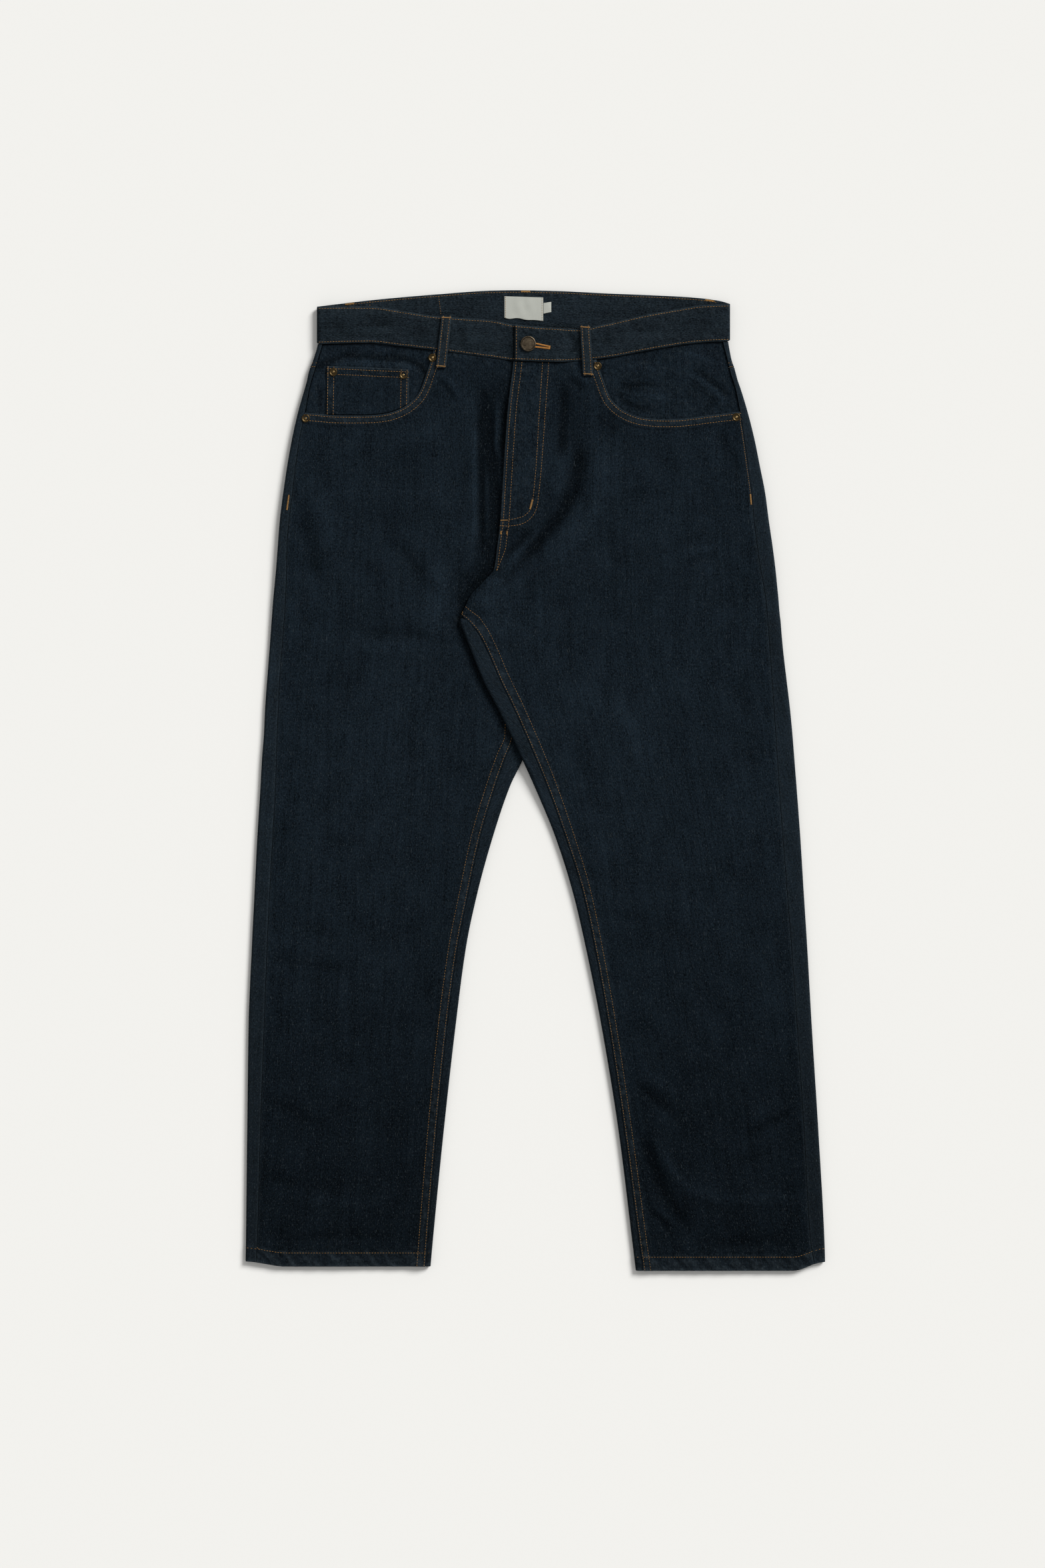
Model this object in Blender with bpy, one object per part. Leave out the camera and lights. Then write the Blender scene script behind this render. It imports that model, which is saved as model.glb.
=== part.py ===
"""Blue denim jeans, laid flat with the front up: every cut and sewn piece is its own closed solid.

Frame: metres, +Z up, the waist towards +Y, the wearer's left towards +X.  The origin is the
middle of the jeans on the surface they lie on.  Sizes below are in millimetres.
"""

import math
from dataclasses import dataclass

import bmesh
import bpy

MM = 0.001

# ---- cloth and layers ------------------------------------------------------------------------
CLOTH = 1.3             # denim wall
HEM_CLOTH = 2.2         # turned-up hem wall
HEM_HEIGHT = 15.0
HEM_STEP = 0.7          # how far the hem stands proud of the leg
SEAM_GAP = 0.35         # clearance between two sewn pieces
LAYER_GAP = 0.35        # clearance between two pieces that lie on each other
FACING_DROP = 0.65      # clearance between a front and the facing below it
LEAST_HOLLOW = 0.9      # least clearance between the upper and lower walls
SEAT_LIFT = 1.55        # the seat lies on its patch pockets
TUBE_LEG = 5.6          # leg, from underside to upper face
TUBE_HIP = 6.4
TUBE_LAPPED = 4.2       # right leg where the left leg lies on it
LAP_HEIGHT = TUBE_LAPPED + LAYER_GAP
LAP_RAMP_UNDER = 14.0   # run in which the left leg comes down to the surface
LAP_RAMP_TOP = 60.0
CROTCH_Y = 179.0
PLAIN_TOP_Y = 376.0     # below this the panels have plain level rows

# ---- waistband -------------------------------------------------------------------------------
BAND_CLOTH = 2.6        # a folded double wall
BAND_HEIGHT = 39.5
BAND_TOP_Z = 8.8
BAND_RIGHT_X = -237.6
BAND_LEFT_X = 212.1
BAND_OVER_END_X = -22.3     # free end that laps over, with the buttonhole
BAND_UNDER_END_X = 14.0     # free end below it, with the button

# ---- fly -------------------------------------------------------------------------------------
FLY_BOTTOM_Y = 272.0
FLY_WIDTH = 40.0
FLY_LIFT = 1.2
FLY_LAP = 2.5           # how far the right front reaches below the fly edge
SHIELD_WIDTH = 34.0

# ---- trimmings -------------------------------------------------------------------------------
LOOP_WIDTH = 11.1
LOOP_LENGTH = 56.0
LOOP_CLOTH = 1.6
BUTTON_RADIUS = 8.4
RIVET_RADIUS = 4.5
PATCH_CLOTH = 1.2       # coin pocket and seat pockets
LABEL_CLOTH = 0.8

RIGHT, LEFT = -1, 1     # the wearer's sides, as the sign of X


def smooth(value):
    """Ease from 0 to 1 as value goes from 0 to 1."""
    value = min(max(value, 0.0), 1.0)
    return value * value * (3.0 - 2.0 * value)


def mix(first, second, share):
    """Value between first and second."""
    return first + (second - first) * share


class Table:
    """Sizes in rows with named columns, read between the rows on a curve that never overshoots."""

    def __init__(self, columns, rows):
        names = columns.split()
        self.at = [row[0] for row in sorted(rows)]
        self.columns = {name: [row[i] for row in sorted(rows)] for i, name in enumerate(names)}
        self.slopes = {name: self.find_slopes(values) for name, values in self.columns.items()}

    def find_slopes(self, values):
        """Slope at each row: the harmonic mean of its neighbours, or 0 at a turn."""
        steps = [(values[i + 1] - values[i]) / (self.at[i + 1] - self.at[i])
                 for i in range(len(values) - 1)]
        slopes = [steps[0]]
        for before, after in zip(steps, steps[1:]):
            same_way = before * after > 0
            slopes.append(2 * before * after / (before + after) if same_way else 0.0)
        return slopes + [steps[-1]]

    def read(self, name, place):
        """The named column at a place; past the ends the last slope goes on."""
        values, slopes, at = self.columns[name], self.slopes[name], self.at
        if place <= at[0]:
            return values[0] + slopes[0] * (place - at[0])
        if place >= at[-1]:
            return values[-1] + slopes[-1] * (place - at[-1])
        row = max(i for i in range(len(at) - 1) if at[i] <= place)
        step = at[row + 1] - at[row]
        t = (place - at[row]) / step
        h00, h10 = (1 + 2 * t) * (1 - t) ** 2, t * (1 - t) ** 2
        h01, h11 = t * t * (3 - 2 * t), t * t * (t - 1)
        return (h00 * values[row] + h10 * step * slopes[row]
                + h01 * values[row + 1] + h11 * step * slopes[row + 1])


# Seams and outline from the waist to the crotch: x at each height y.
HIP = Table(
    "y    outer_right outseam_right rise centre_back outseam_left outer_left", [
        (494, -236.0, -231.0, -21.0, -12.0, 202.0, 208.0),
        (476, -236.6, -231.6, -22.5, -12.0, 204.5, 210.3),
        (458, -241.3, -236.3, -23.5, -12.5, 209.0, 213.6),
        (443, -245.8, -240.8, -25.0, -12.8, 212.5, 217.4),
        (428, -250.3, -245.3, -27.0, -13.0, 217.5, 223.0),
        (400, -258.3, -250.5, -30.2, -14.0, 223.0, 231.5),
        (370, -265.0, -256.8, -32.3, -15.0, 227.8, 239.0),
        (341, -270.1, -261.0, -34.2, -17.0, 231.7, 244.8),
        (312, -274.4, -264.3, -35.9, -20.0, 235.6, 250.5),
        (283, -278.0, -268.0, -37.8, -23.0, 238.0, 254.3),
        (255, -280.2, -270.2, -41.2, -29.0, 241.5, 258.4),
        (231, -282.0, -270.8, -44.5, -38.5, 245.0, 261.5),
        (215, -283.5, -271.2, -57.5, -50.0, 248.0, 263.2),
        (200, -285.0, -271.8, -71.2, -62.0, 250.5, 264.7),
        (189, -285.9, -272.4, -76.3, -71.5, 251.8, 265.6),
        (179, -286.6, -273.0, -80.6, -80.2, 252.8, 266.5)])

# The legs below the crotch.  Above y = 22 the right leg's inner edge lies under the left leg.
LEGS = {
    RIGHT: Table("y outer outseam inseam inner", [
        (179, -286.6, -273.0, -81.0, -80.5), (172, -287.2, -273.6, -77.0, -68.0),
        (160, -288.0, -274.5, -68.0, -50.0), (140, -289.5, -276.0, -50.0, -29.0),
        (110, -291.8, -278.3, -31.0, -10.0), (80, -294.0, -279.7, -23.0, -3.0),
        (50, -295.4, -281.0, -23.5, -4.0), (22, -297.6, -282.0, -33.5, -13.8),
        (-6, -299.1, -282.8, -43.4, -27.2), (-64, -302.7, -286.0, -60.5, -46.8),
        (-122, -305.6, -289.2, -72.8, -62.7), (-180, -308.5, -292.0, -84.3, -75.0),
        (-267, -312.1, -295.2, -96.0, -86.6), (-383, -313.6, -299.3, -107.6, -99.7),
        (-500, -315.0, -302.6, -117.2, -111.3), (-530, -315.5, -304.0, -119.4, -114.0)]),
    LEFT: Table("y outer outseam inseam inner", [
        (179, 266.5, 252.8, -80.4, -80.6), (174, 267.2, 253.2, -74.0, -81.9),
        (160, 268.3, 254.2, -62.0, -77.5), (140, 270.2, 255.6, -51.5, -69.5),
        (110, 273.7, 257.7, -38.5, -57.5), (80, 277.3, 259.8, -24.0, -41.8),
        (50, 280.2, 261.8, -10.5, -27.0), (22, 282.4, 263.7, 1.5, -13.8),
        (-6, 284.6, 265.4, 12.9, -1.1), (-64, 288.9, 269.7, 33.8, 22.8),
        (-122, 292.5, 274.3, 51.9, 41.0), (-180, 296.2, 278.9, 64.5, 54.7),
        (-267, 301.2, 285.1, 80.0, 72.1), (-383, 308.5, 292.8, 97.3, 91.0),
        (-500, 315.0, 299.5, 112.9, 105.5), (-533, 316.0, 305.0, 117.6, 109.5)]),
}

# Edges of the waistband: y at each x.
BAND = Table("x front_top front_bottom back_top", [
    (-238, 514.9, 474.2, 515.4), (-213, 515.3, 474.9, 518.4), (-180, 515.2, 475.5, 522.3),
    (-149, 511.1, 472.3, 525.3), (-107, 504.6, 467.4, 528.8), (-47, 500.3, 459.4, 532.9),
    (-22, 495.2, 456.2, 533.3), (26, 491.6, 454.7, 532.4), (48, 490.8, 456.0, 531.4),
    (74, 495.6, 458.6, 530.0), (118, 505.7, 466.5, 528.2), (158, 512.9, 473.3, 526.3),
    (181, 516.5, 476.0, 524.5), (203, 517.5, 477.0, 521.2), (212, 517.7, 477.1, 518.4)])

# Pocket openings, from the waistband seam round to the side seam.
POCKET_EDGES = {
    RIGHT: [(-110.5, 467.2), (-116.4, 447.3), (-129.4, 416.9), (-158.4, 399.5),
            (-207.0, 396.6), (-250.3, 399.5)],
    LEFT: [(66.3, 457.8), (73.5, 436.5), (85.2, 411.1), (110.6, 395.9),
           (150.2, 392.6), (195.4, 397.5), (222.6, 400.8)],
}


@dataclass
class Fold:
    """A ridge (height > 0) or a trough (height < 0) that dies away at both ends of its path."""

    side: int
    height: float
    half_width: float
    path: list


FOLDS = [
    # The slack that the crotch pulls into the right front, beside the fly.
    Fold(RIGHT, -2.6, 8.0, [(-45, 421), (-53, 385), (-59, 341), (-56, 298), (-50, 269),
                            (-47, 233), (-60, 211), (-77, 190)]),
    Fold(RIGHT, 2.6, 5.0, [(-43, 396), (-44, 341), (-42, 298), (-41, 262)]),
    Fold(RIGHT, -2.0, 4.5, [(-33, 400), (-36, 330), (-39, 269), (-44, 233)]),
    Fold(RIGHT, 2.4, 16.0, [(-75, 400), (-84, 341), (-82, 290), (-74, 250), (-80, 222)]),
    Fold(RIGHT, 1.4, 13.0, [(-95, 215), (-110, 190), (-112, 150), (-95, 120)]),
    # The trough that runs round the fly stitching on the left front, and the swell beyond it.
    Fold(LEFT, -2.2, 9.0, [(35, 414), (41, 349), (36, 305), (18, 270), (-8, 250), (-32, 244)]),
    Fold(LEFT, 2.2, 16.0, [(58, 400), (66, 341), (58, 285), (28, 243), (-12, 226)]),
    Fold(LEFT, 1.4, 7.0, [(24, 390), (24, 330), (12, 285)]),
    Fold(LEFT, 2.6, 12.0, [(-34, 222), (-52, 204), (-68, 188)]),
    # Slack in the pocket mouths and below the belt loop.
    Fold(RIGHT, 1.3, 6.0, [(-106, 440), (-98, 428), (-86, 418)]),
    Fold(RIGHT, -1.0, 5.0, [(-232, 428), (-240, 412), (-234, 402)]),
    Fold(LEFT, 1.3, 6.0, [(168, 440), (190, 428), (212, 410)]),
    # Shallow swells down the legs.
    Fold(RIGHT, 1.2, 22.0, [(-240, 120), (-190, 96), (-130, 104)]),
    Fold(LEFT, 1.2, 20.0, [(40, 120), (95, 60), (120, -20)]),
    Fold(LEFT, 1.3, 11.0, [(128, -330), (150, -385), (196, -440)]),
    Fold(LEFT, -0.9, 10.0, [(118, -370), (140, -425), (180, -470)]),
    Fold(LEFT, 1.0, 10.0, [(225, -350), (262, -372), (290, -362)]),
    Fold(RIGHT, 1.0, 14.0, [(-270, -230), (-225, -242), (-180, -232)]),
    Fold(RIGHT, 1.0, 12.0, [(-280, -470), (-230, -482), (-170, -474)]),
]


def fold_height(fold, x, y):
    """Height of one fold at (x, y)."""
    nearest, place, run = 1e9, 0.0, 0.0
    for (ax, ay), (bx, by) in zip(fold.path, fold.path[1:]):
        length = math.hypot(bx - ax, by - ay)
        t = ((x - ax) * (bx - ax) + (y - ay) * (by - ay)) / length ** 2
        t = min(max(t, 0.0), 1.0)
        distance = math.hypot(x - mix(ax, bx, t), y - mix(ay, by, t))
        if distance < nearest:
            nearest, place = distance, run + t * length
        run += length
    if nearest > 3.0 * fold.half_width:
        return 0.0
    ends = smooth(min(place, run - place) / (0.25 * run))
    return fold.height * ends * math.exp(-(nearest / fold.half_width) ** 2)


# ---- seam lines and heights --------------------------------------------------------------------

def side_name(side):
    """The wearer's side as a word for names."""
    return "right" if side == RIGHT else "left"


def outer_edge(side, y):
    """Outline of the hip and leg, with the small bulge of the yoke seam."""
    bulge = 1.3 * math.exp(-((y - 446.0) / 7.0) ** 2)
    if y >= CROTCH_Y:
        return HIP.read("outer_" + side_name(side), y) + side * bulge
    return LEGS[side].read("outer", y)


def outseam(side, y):
    """Side seam, a little way in on the upper face."""
    if y >= CROTCH_Y:
        return HIP.read("outseam_" + side_name(side), y)
    return LEGS[side].read("outseam", y)


def back_end(side, y):
    """Where the underside ends: the centre back seam, or below the crotch the inner fold."""
    if y >= CROTCH_Y:
        return HIP.read("centre_back", y) + side * SEAM_GAP / 2
    return LEGS[side].read("inner", y)


def front_start(side, y):
    """Inner edge of a front: the rise seam, or below the crotch the inseam."""
    if y < CROTCH_Y:
        return LEGS[side].read("inseam", y) + side * SEAM_GAP / 2
    lap = FLY_LAP * smooth((y - 202.0) / 12.0) if side == RIGHT else 0.0
    clearance = SEAM_GAP if side == RIGHT and lap == 0.0 else 0.0
    return HIP.read("rise", y) + lap - clearance


def right_leg_reach(y):
    """How far towards +X the right leg reaches under the left one."""
    return back_end(RIGHT, y)


def lap(x, y, ramp):
    """Lift of the left leg over the right one: 1 on it, 0 past the ramp and above the crotch."""
    fade = 1.0 if y <= CROTCH_Y else smooth((206.0 - y) / 27.0)
    return fade * smooth((right_leg_reach(y) + 1.0 + ramp - x) / ramp)


def underside(side, x, y):
    """Height of the lowest face above the surface."""
    seat = SEAT_LIFT * smooth((y - 206.0) / 24.0)
    if side == RIGHT:
        return seat
    return max(seat, LAP_HEIGHT * lap(x, y, LAP_RAMP_UNDER))


def lapped(x, y):
    """1 where the right leg lies below the left leg, easing to 0 before its edge."""
    fade = 1.0 if y <= CROTCH_Y + 4.0 else smooth((196.0 - y) / 13.0)
    return fade * smooth((x - back_end(LEFT, y) + 16.0) / 8.0)


def upper_face(side, x, y):
    """Height of the uppermost face: the tube's depth, the lap, the fly and the folds."""
    depth = mix(TUBE_LEG, TUBE_HIP, smooth((y - 120.0) / 160.0))
    seat = SEAT_LIFT * smooth((y - 120.0) / 170.0)
    hem_y = y + 529.0 + (4.5 if side == LEFT else 0.0)
    hem = HEM_STEP * smooth((HEM_HEIGHT + 0.5 - hem_y) / 1.0)
    relief = sum(fold_height(fold, x, y) for fold in FOLDS if fold.side == side)
    relief *= smooth((abs(outer_edge(side, y) - x) - 5.0) / 14.0)
    if side == RIGHT:
        covered = lapped(x, y)
        depth = mix(seat + depth, TUBE_LAPPED, covered)
        relief *= 1.0 - covered
        if y >= CROTCH_Y:
            tuck = smooth((x - HIP.read("rise", y) + 10.0) / 7.0)
            relief -= 1.3 * tuck * smooth((y - 186.0) / 14.0)
        elif y < 22.0:
            relief *= smooth((back_end(RIGHT, y) - x - 5.0) / 12.0)
        return hem + max(depth + relief, underside(side, x, y) + 2 * CLOTH + LEAST_HOLLOW)
    rise = max(seat, LAP_HEIGHT * lap(x, y, LAP_RAMP_TOP))
    if y < CROTCH_Y:
        relief *= smooth((x - back_end(LEFT, y) - 5.0) / 12.0)
    else:
        fly_edge = HIP.read("rise", y)
        on_fly = smooth((fly_edge + FLY_WIDTH + 3.0 - x) / 5.0)
        relief += FLY_LIFT * on_fly * smooth((y - FLY_BOTTOM_Y + 6.0) / 8.0)
    return rise + depth + hem + relief


def wall_at(side, y):
    """Wall thickness: plain cloth, or the turned-up hem."""
    hem_y = y + 529.0 + (4.5 if side == LEFT else 0.0)
    return mix(CLOTH, HEM_CLOTH, smooth((HEM_HEIGHT + 0.5 - hem_y) / 1.0))


def hem_line(side, x):
    """Lower edge of a leg, which lifts a little at its outer corner."""
    level, reach, lift = (-529.2, 45.0, 5.5) if side == RIGHT else (-533.8, 36.0, 9.5)
    from_edge = abs(outer_edge(side, level) - x)
    return level + lift * smooth((reach - from_edge) / reach)


def yoke_line(x):
    """Seam between yoke and back, lowest at the centre back."""
    return 425.0 + 24.5 * smooth(abs(x + 13.0) / 235.0)


def smooth_path(points, count):
    """Evenly spread points on a smooth curve through the given ones (centripetal tangents)."""
    ends = [tuple(2 * a - b for a, b in zip(points[0], points[1]))]
    tail = [tuple(2 * a - b for a, b in zip(points[-1], points[-2]))]
    knots = ends + list(points) + tail
    dense = []
    for p0, p1, p2, p3 in zip(knots, knots[1:], knots[2:], knots[3:]):
        for step in range(16):
            t = step / 16
            dense.append(tuple(
                0.5 * (2 * b + (c - a) * t + (2 * a - 5 * b + 4 * c - d) * t * t
                       + (3 * b - a - 3 * c + d) * t ** 3) for a, b, c, d in zip(p0, p1, p2, p3)))
    dense.append(points[-1])
    runs = [0.0]
    for a, b in zip(dense, dense[1:]):
        runs.append(runs[-1] + math.dist(a, b))
    spread = []
    for i in range(count):
        wanted = runs[-1] * i / (count - 1)
        k = min(max(j for j in range(len(runs)) if runs[j] <= wanted + 1e-9), len(dense) - 2)
        share = (wanted - runs[k]) / (runs[k + 1] - runs[k])
        spread.append(tuple(mix(a, b, share) for a, b in zip(dense[k], dense[k + 1])))
    return spread


def pocket_level(side, x):
    """y of the pocket opening at x, on the stretch below the waistband."""
    path = smooth_path(POCKET_EDGES[side], 40)
    for (ax, ay), (bx, by) in zip(path, path[1:]):
        if min(ax, bx) <= x <= max(ax, bx):
            return mix(ay, by, (x - ax) / (bx - ax))
    return path[-1][1] if abs(x) > abs(path[-1][0]) else path[0][1]


# ---- mesh helpers --------------------------------------------------------------------------------

def offset_row(points, walls, side):
    """Inner face of a wall whose outer face passes through points (x, y, z) across the leg."""
    kept = [points[0]]
    for point in points[1:]:
        if math.dist(point, kept[-1]) > 1e-4:
            kept.append(point)
    moved = {}
    for i, point in enumerate(kept):
        before, after = kept[max(i - 1, 0)], kept[min(i + 1, len(kept) - 1)]
        dx, dz = after[0] - before[0], after[2] - before[2]
        length = math.hypot(dx, dz)
        moved[point] = (side * dz / length, -side * dx / length)
    inner, last = [], points[0]
    for point, wall in zip(points, walls):
        last = point if point in moved else last
        nx, nz = moved[last]
        inner.append((last[0] + wall * nx, last[1], last[2] + wall * nz))
    return inner


def new_object(name, mesh_data, material):
    """Put a closed bmesh into the scene as a named object."""
    bmesh.ops.remove_doubles(mesh_data, verts=mesh_data.verts, dist=0.01 * MM)
    bmesh.ops.recalc_face_normals(mesh_data, faces=mesh_data.faces)
    mesh = bpy.data.meshes.new(name)
    mesh_data.to_mesh(mesh)
    mesh_data.free()
    mesh.materials.append(material)
    mesh.shade_smooth()
    mesh.set_sharp_from_angle(angle=math.radians(50))
    piece = bpy.data.objects.new(name, mesh)
    bpy.context.scene.collection.objects.link(piece)
    return piece


def wall_between(name, outer, inner, material):
    """Close two matching grids of points, in millimetres, into one wall."""
    mesh_data = bmesh.new()
    faces_of = []
    for grid in (outer, inner):
        faces_of.append([[mesh_data.verts.new([c * MM for c in p]) for p in row] for row in grid])
    top, under = faces_of
    rows, columns = len(outer), len(outer[0])
    for r in range(rows - 1):
        for c in range(columns - 1):
            mesh_data.faces.new((top[r][c], top[r][c + 1], top[r + 1][c + 1], top[r + 1][c]))
            mesh_data.faces.new((under[r][c], under[r + 1][c], under[r + 1][c + 1], under[r][c + 1]))
    for r in range(rows - 1):
        for c in (0, columns - 1):
            mesh_data.faces.new((top[r][c], top[r + 1][c], under[r + 1][c], under[r][c]))
    for c in range(columns - 1):
        for r in (0, rows - 1):
            mesh_data.faces.new((top[r][c], top[r][c + 1], under[r][c + 1], under[r][c]))
    return new_object(name, mesh_data, material)


def flat_patch(name, outline, low, high, material):
    """A patch of even thickness from an outline in the XY plane, in millimetres."""
    mesh_data = bmesh.new()
    rims = [[mesh_data.verts.new((x * MM, y * MM, z * MM)) for x, y in outline] for z in (low, high)]
    mesh_data.faces.new(rims[0])
    mesh_data.faces.new(rims[1])
    for i in range(len(outline)):
        j = (i + 1) % len(outline)
        mesh_data.faces.new((rims[0][i], rims[0][j], rims[1][j], rims[1][i]))
    return new_object(name, mesh_data, material)


def turned(name, profile, centre, segments, material):
    """A turned piece: profile of (radius, height) from the bottom axis to the top axis."""
    mesh_data = bmesh.new()
    rings = []
    for radius, height in profile:
        if radius == 0.0:
            rings.append([mesh_data.verts.new((centre[0] * MM, centre[1] * MM,
                                               (centre[2] + height) * MM))])
            continue
        turn = [2 * math.pi * k / segments for k in range(segments)]
        rings.append([mesh_data.verts.new(((centre[0] + radius * math.cos(a)) * MM,
                                           (centre[1] + radius * math.sin(a)) * MM,
                                           (centre[2] + height) * MM)) for a in turn])
    for low, high in zip(rings, rings[1:]):
        for k in range(segments):
            n = (k + 1) % segments
            corners = [low[k % len(low)], low[n % len(low)], high[n % len(high)], high[k % len(high)]]
            mesh_data.faces.new(list(dict.fromkeys(corners)))
    return new_object(name, mesh_data, material)


def finish(name, colour, roughness, metallic=0.0):
    """A Principled material with one colour."""
    material = bpy.data.materials.new(name)
    material.use_nodes = True
    shader = material.node_tree.nodes["Principled BSDF"]
    shader.inputs["Base Color"].default_value = (*colour, 1.0)
    shader.inputs["Roughness"].default_value = roughness
    shader.inputs["Metallic"].default_value = metallic
    return material


# ---- fronts --------------------------------------------------------------------------------------

LEG_ROWS = [-490, -430, -370, -310, -245, -180, -125, -75, -33, 0, 22]
CROTCH_ROWS = [31, 43, 60, 80, 100, 118, 133, 146, 156, 165, 172, 179]
FRONT_HIP_ROWS = [184, 190, 196, 203, 211, 220, 230, 241, 253, 266, 281, 299, 320, 346, PLAIN_TOP_Y]
BACK_HIP_ROWS = [185, 192, 200, 209, 219, 231, 255, 283, 314, 345, PLAIN_TOP_Y]


def hem_rows(side):
    """Share of the hem line in each of the lowest rows, and the level above it."""
    level = -529.2 if side == RIGHT else -533.8
    return [(0.0, 1.0), (HEM_HEIGHT - 0.6, 0.9), (HEM_HEIGHT + 0.8, 0.9)], level


def level_rows(side, hip_rows):
    """Every plain row as a function from x to y, from the hem upwards."""
    hems, level = hem_rows(side)
    rows = [lambda x, up=up, share=share: mix(level, hem_line(side, x), share) + up
            for up, share in hems]
    return rows + [lambda x, y=y: y for y in LEG_ROWS + CROTCH_ROWS + hip_rows]


def front_columns(count):
    """Shares of a front's width, closer together towards the fly."""
    return [(i / (count - 1)) ** 1.25 for i in range(count)]


def front_top_edge(side, waist_columns, pocket_columns):
    """Upper edge of a front: along the waistband seam, then round the pocket opening."""
    corner = POCKET_EDGES[side][0]
    start = front_start(side, BAND.read("front_bottom", corner[0]) - 8.0)
    waist = []
    for i in range(waist_columns):
        x = mix(start, corner[0], i / waist_columns)
        waist.append((x, BAND.read("front_bottom", x) - SEAM_GAP))
    pocket = smooth_path(POCKET_EDGES[side], pocket_columns)
    low_end = (outseam(side, pocket[-1][1]) - side * SEAM_GAP / 2, pocket[-1][1])
    first = (pocket[0][0], BAND.read("front_bottom", pocket[0][0]) - SEAM_GAP)
    return waist + [first] + pocket[1:-1] + [low_end]


def front_point(side, share, y):
    """A point of a front's upper face at a share of its width."""
    end = outseam(side, y) - side * SEAM_GAP / 2
    x = mix(front_start(side, y), end, share)
    return (x, y, upper_face(side, x, y))


def build_front(side, material):
    """A front panel with its pocket opening cut away."""
    waist_columns, pocket_columns = 7, 11
    edge = front_top_edge(side, waist_columns, pocket_columns)
    shares = front_columns(len(edge))
    outer = []
    for level in level_rows(side, FRONT_HIP_ROWS):
        row = []
        for share in shares:
            y = level(front_point(side, share, level(0.0))[0])
            row.append(front_point(side, share, y))
        outer.append(row)
    for blend in (0.25, 0.5, 0.75, 0.93, 1.0):
        row = []
        for share, (edge_x, edge_y) in zip(shares, edge):
            plain_x = front_point(side, share, PLAIN_TOP_Y)[0]
            x, y = mix(plain_x, edge_x, blend), mix(PLAIN_TOP_Y, edge_y, blend)
            row.append((x, y, upper_face(side, x, y)))
        row[0] = (front_start(side, row[0][1]), row[0][1], row[0][2])
        outer.append(row)
    inner = [offset_row(row, [wall_at(side, p[1]) for p in row], side) for row in outer]
    return wall_between("front_" + side_name(side), outer, inner, material)


# ---- backs and yokes -------------------------------------------------------------------------------

STRIP, ARC, FLOOR = 3, 6, 9     # columns of a back: upper strip, rounded edge, underside


def wrap(side, y, edge, seam, away):
    """Outer-face points (x, z) from a seam on the upper face, over the fold, to the underside.

    away is +1 where the fold faces +X and -1 where it faces -X.
    """
    low = underside(side, edge, y)
    high = upper_face(side, edge, y)
    radius = (high - low) / 2
    centre = edge - away * radius
    points = []
    for i in range(STRIP):
        x = mix(seam, centre, i / STRIP)
        points.append((x, upper_face(side, x, y)))
    for i in range(ARC):
        turn = math.pi * i / (ARC - 1)
        points.append((centre + away * radius * math.sin(turn),
                       low + radius * (1 + math.cos(turn))))
    return points


def floor_columns(side, y, begin, end):
    """Places across the underside, gathered on the left leg where it rises onto the right one."""
    spread = [mix(begin, end, i / FLOOR) for i in range(1, FLOOR)]
    if side == RIGHT:
        return spread
    lap_start = right_leg_reach(y) + 1.0
    ramp = [lap_start + LAP_RAMP_UNDER * share for share in (1.1, 0.72, 0.36, -0.06)]
    ramp = [max(x, mix(end, begin, 0.02 * (len(ramp) - i))) for i, x in enumerate(ramp)]
    plain = FLOOR - 2 - len(ramp)
    return ([mix(begin, ramp[0], i / (plain + 1)) for i in range(1, plain + 1)] + ramp
            + [mix(ramp[-1], end, 0.5)])


def back_points(side, y):
    """Outer-face section of a back at height y, from the side seam down and under."""
    seam = outseam(side, y) + side * SEAM_GAP / 2
    path = wrap(side, y, outer_edge(side, y), seam, side)
    end = back_end(side, y)
    begin = path[-1][0]
    if y >= CROTCH_Y:
        inner_wrap = [(end, underside(side, end, y))] * (STRIP + ARC)
    else:
        inseam = LEGS[side].read("inseam", y) - side * SEAM_GAP / 2
        inner_wrap = wrap(side, y, end, inseam, -side)[::-1]
    for x in floor_columns(side, y, begin, inner_wrap[0][0]):
        path.append((x, underside(side, x, y)))
    return path + inner_wrap


def build_back(side, material):
    """A back panel: it wraps round both edges of the leg to the seams on the upper face."""
    count = len(back_points(side, 0.0))
    outer = []
    for level in level_rows(side, BACK_HIP_ROWS):
        row = []
        for c in range(count):
            y = level(back_points(side, level(0.0))[c][0])
            x, z = back_points(side, y)[c]
            row.append((x, y, z))
        outer.append(row)
    for blend in (0.5, 1.0):
        row = []
        for c in range(count):
            seam_y = yoke_line(back_points(side, 440.0)[c][0]) - SEAM_GAP
            y = mix(PLAIN_TOP_Y, seam_y, blend)
            x, z = back_points(side, y)[c]
            row.append((x, y, z))
        outer.append(row)
    inner = [offset_row(row, [wall_at(side, p[1]) for p in row], side) for row in outer]
    return wall_between("back_" + side_name(side), outer, inner, material)


def build_yoke(side, material):
    """The shaped piece between the back and the waistband, round the side to the side seam."""
    count = len(back_points(side, 440.0))
    outer = []
    for blend in (0.0, 0.5, 1.0):
        row = []
        for c in range(count):
            x = back_points(side, 460.0)[c][0]
            front = BAND.read("front_bottom", x)
            back = BAND.read("back_top", x) - BAND_HEIGHT
            under = smooth((c - STRIP) / (ARC - 1))
            high = mix(front, back, under) - SEAM_GAP
            seam_y = yoke_line(back_points(side, 440.0)[c][0])
            y = mix(seam_y, high, blend)
            x, z = back_points(side, y)[c]
            row.append((x, y, z))
        outer.append(row)
    inner = [offset_row(row, [CLOTH] * count, side) for row in outer]
    return wall_between("yoke_" + side_name(side), outer, inner, material)


# ---- waistband and what is on it --------------------------------------------------------------------

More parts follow.
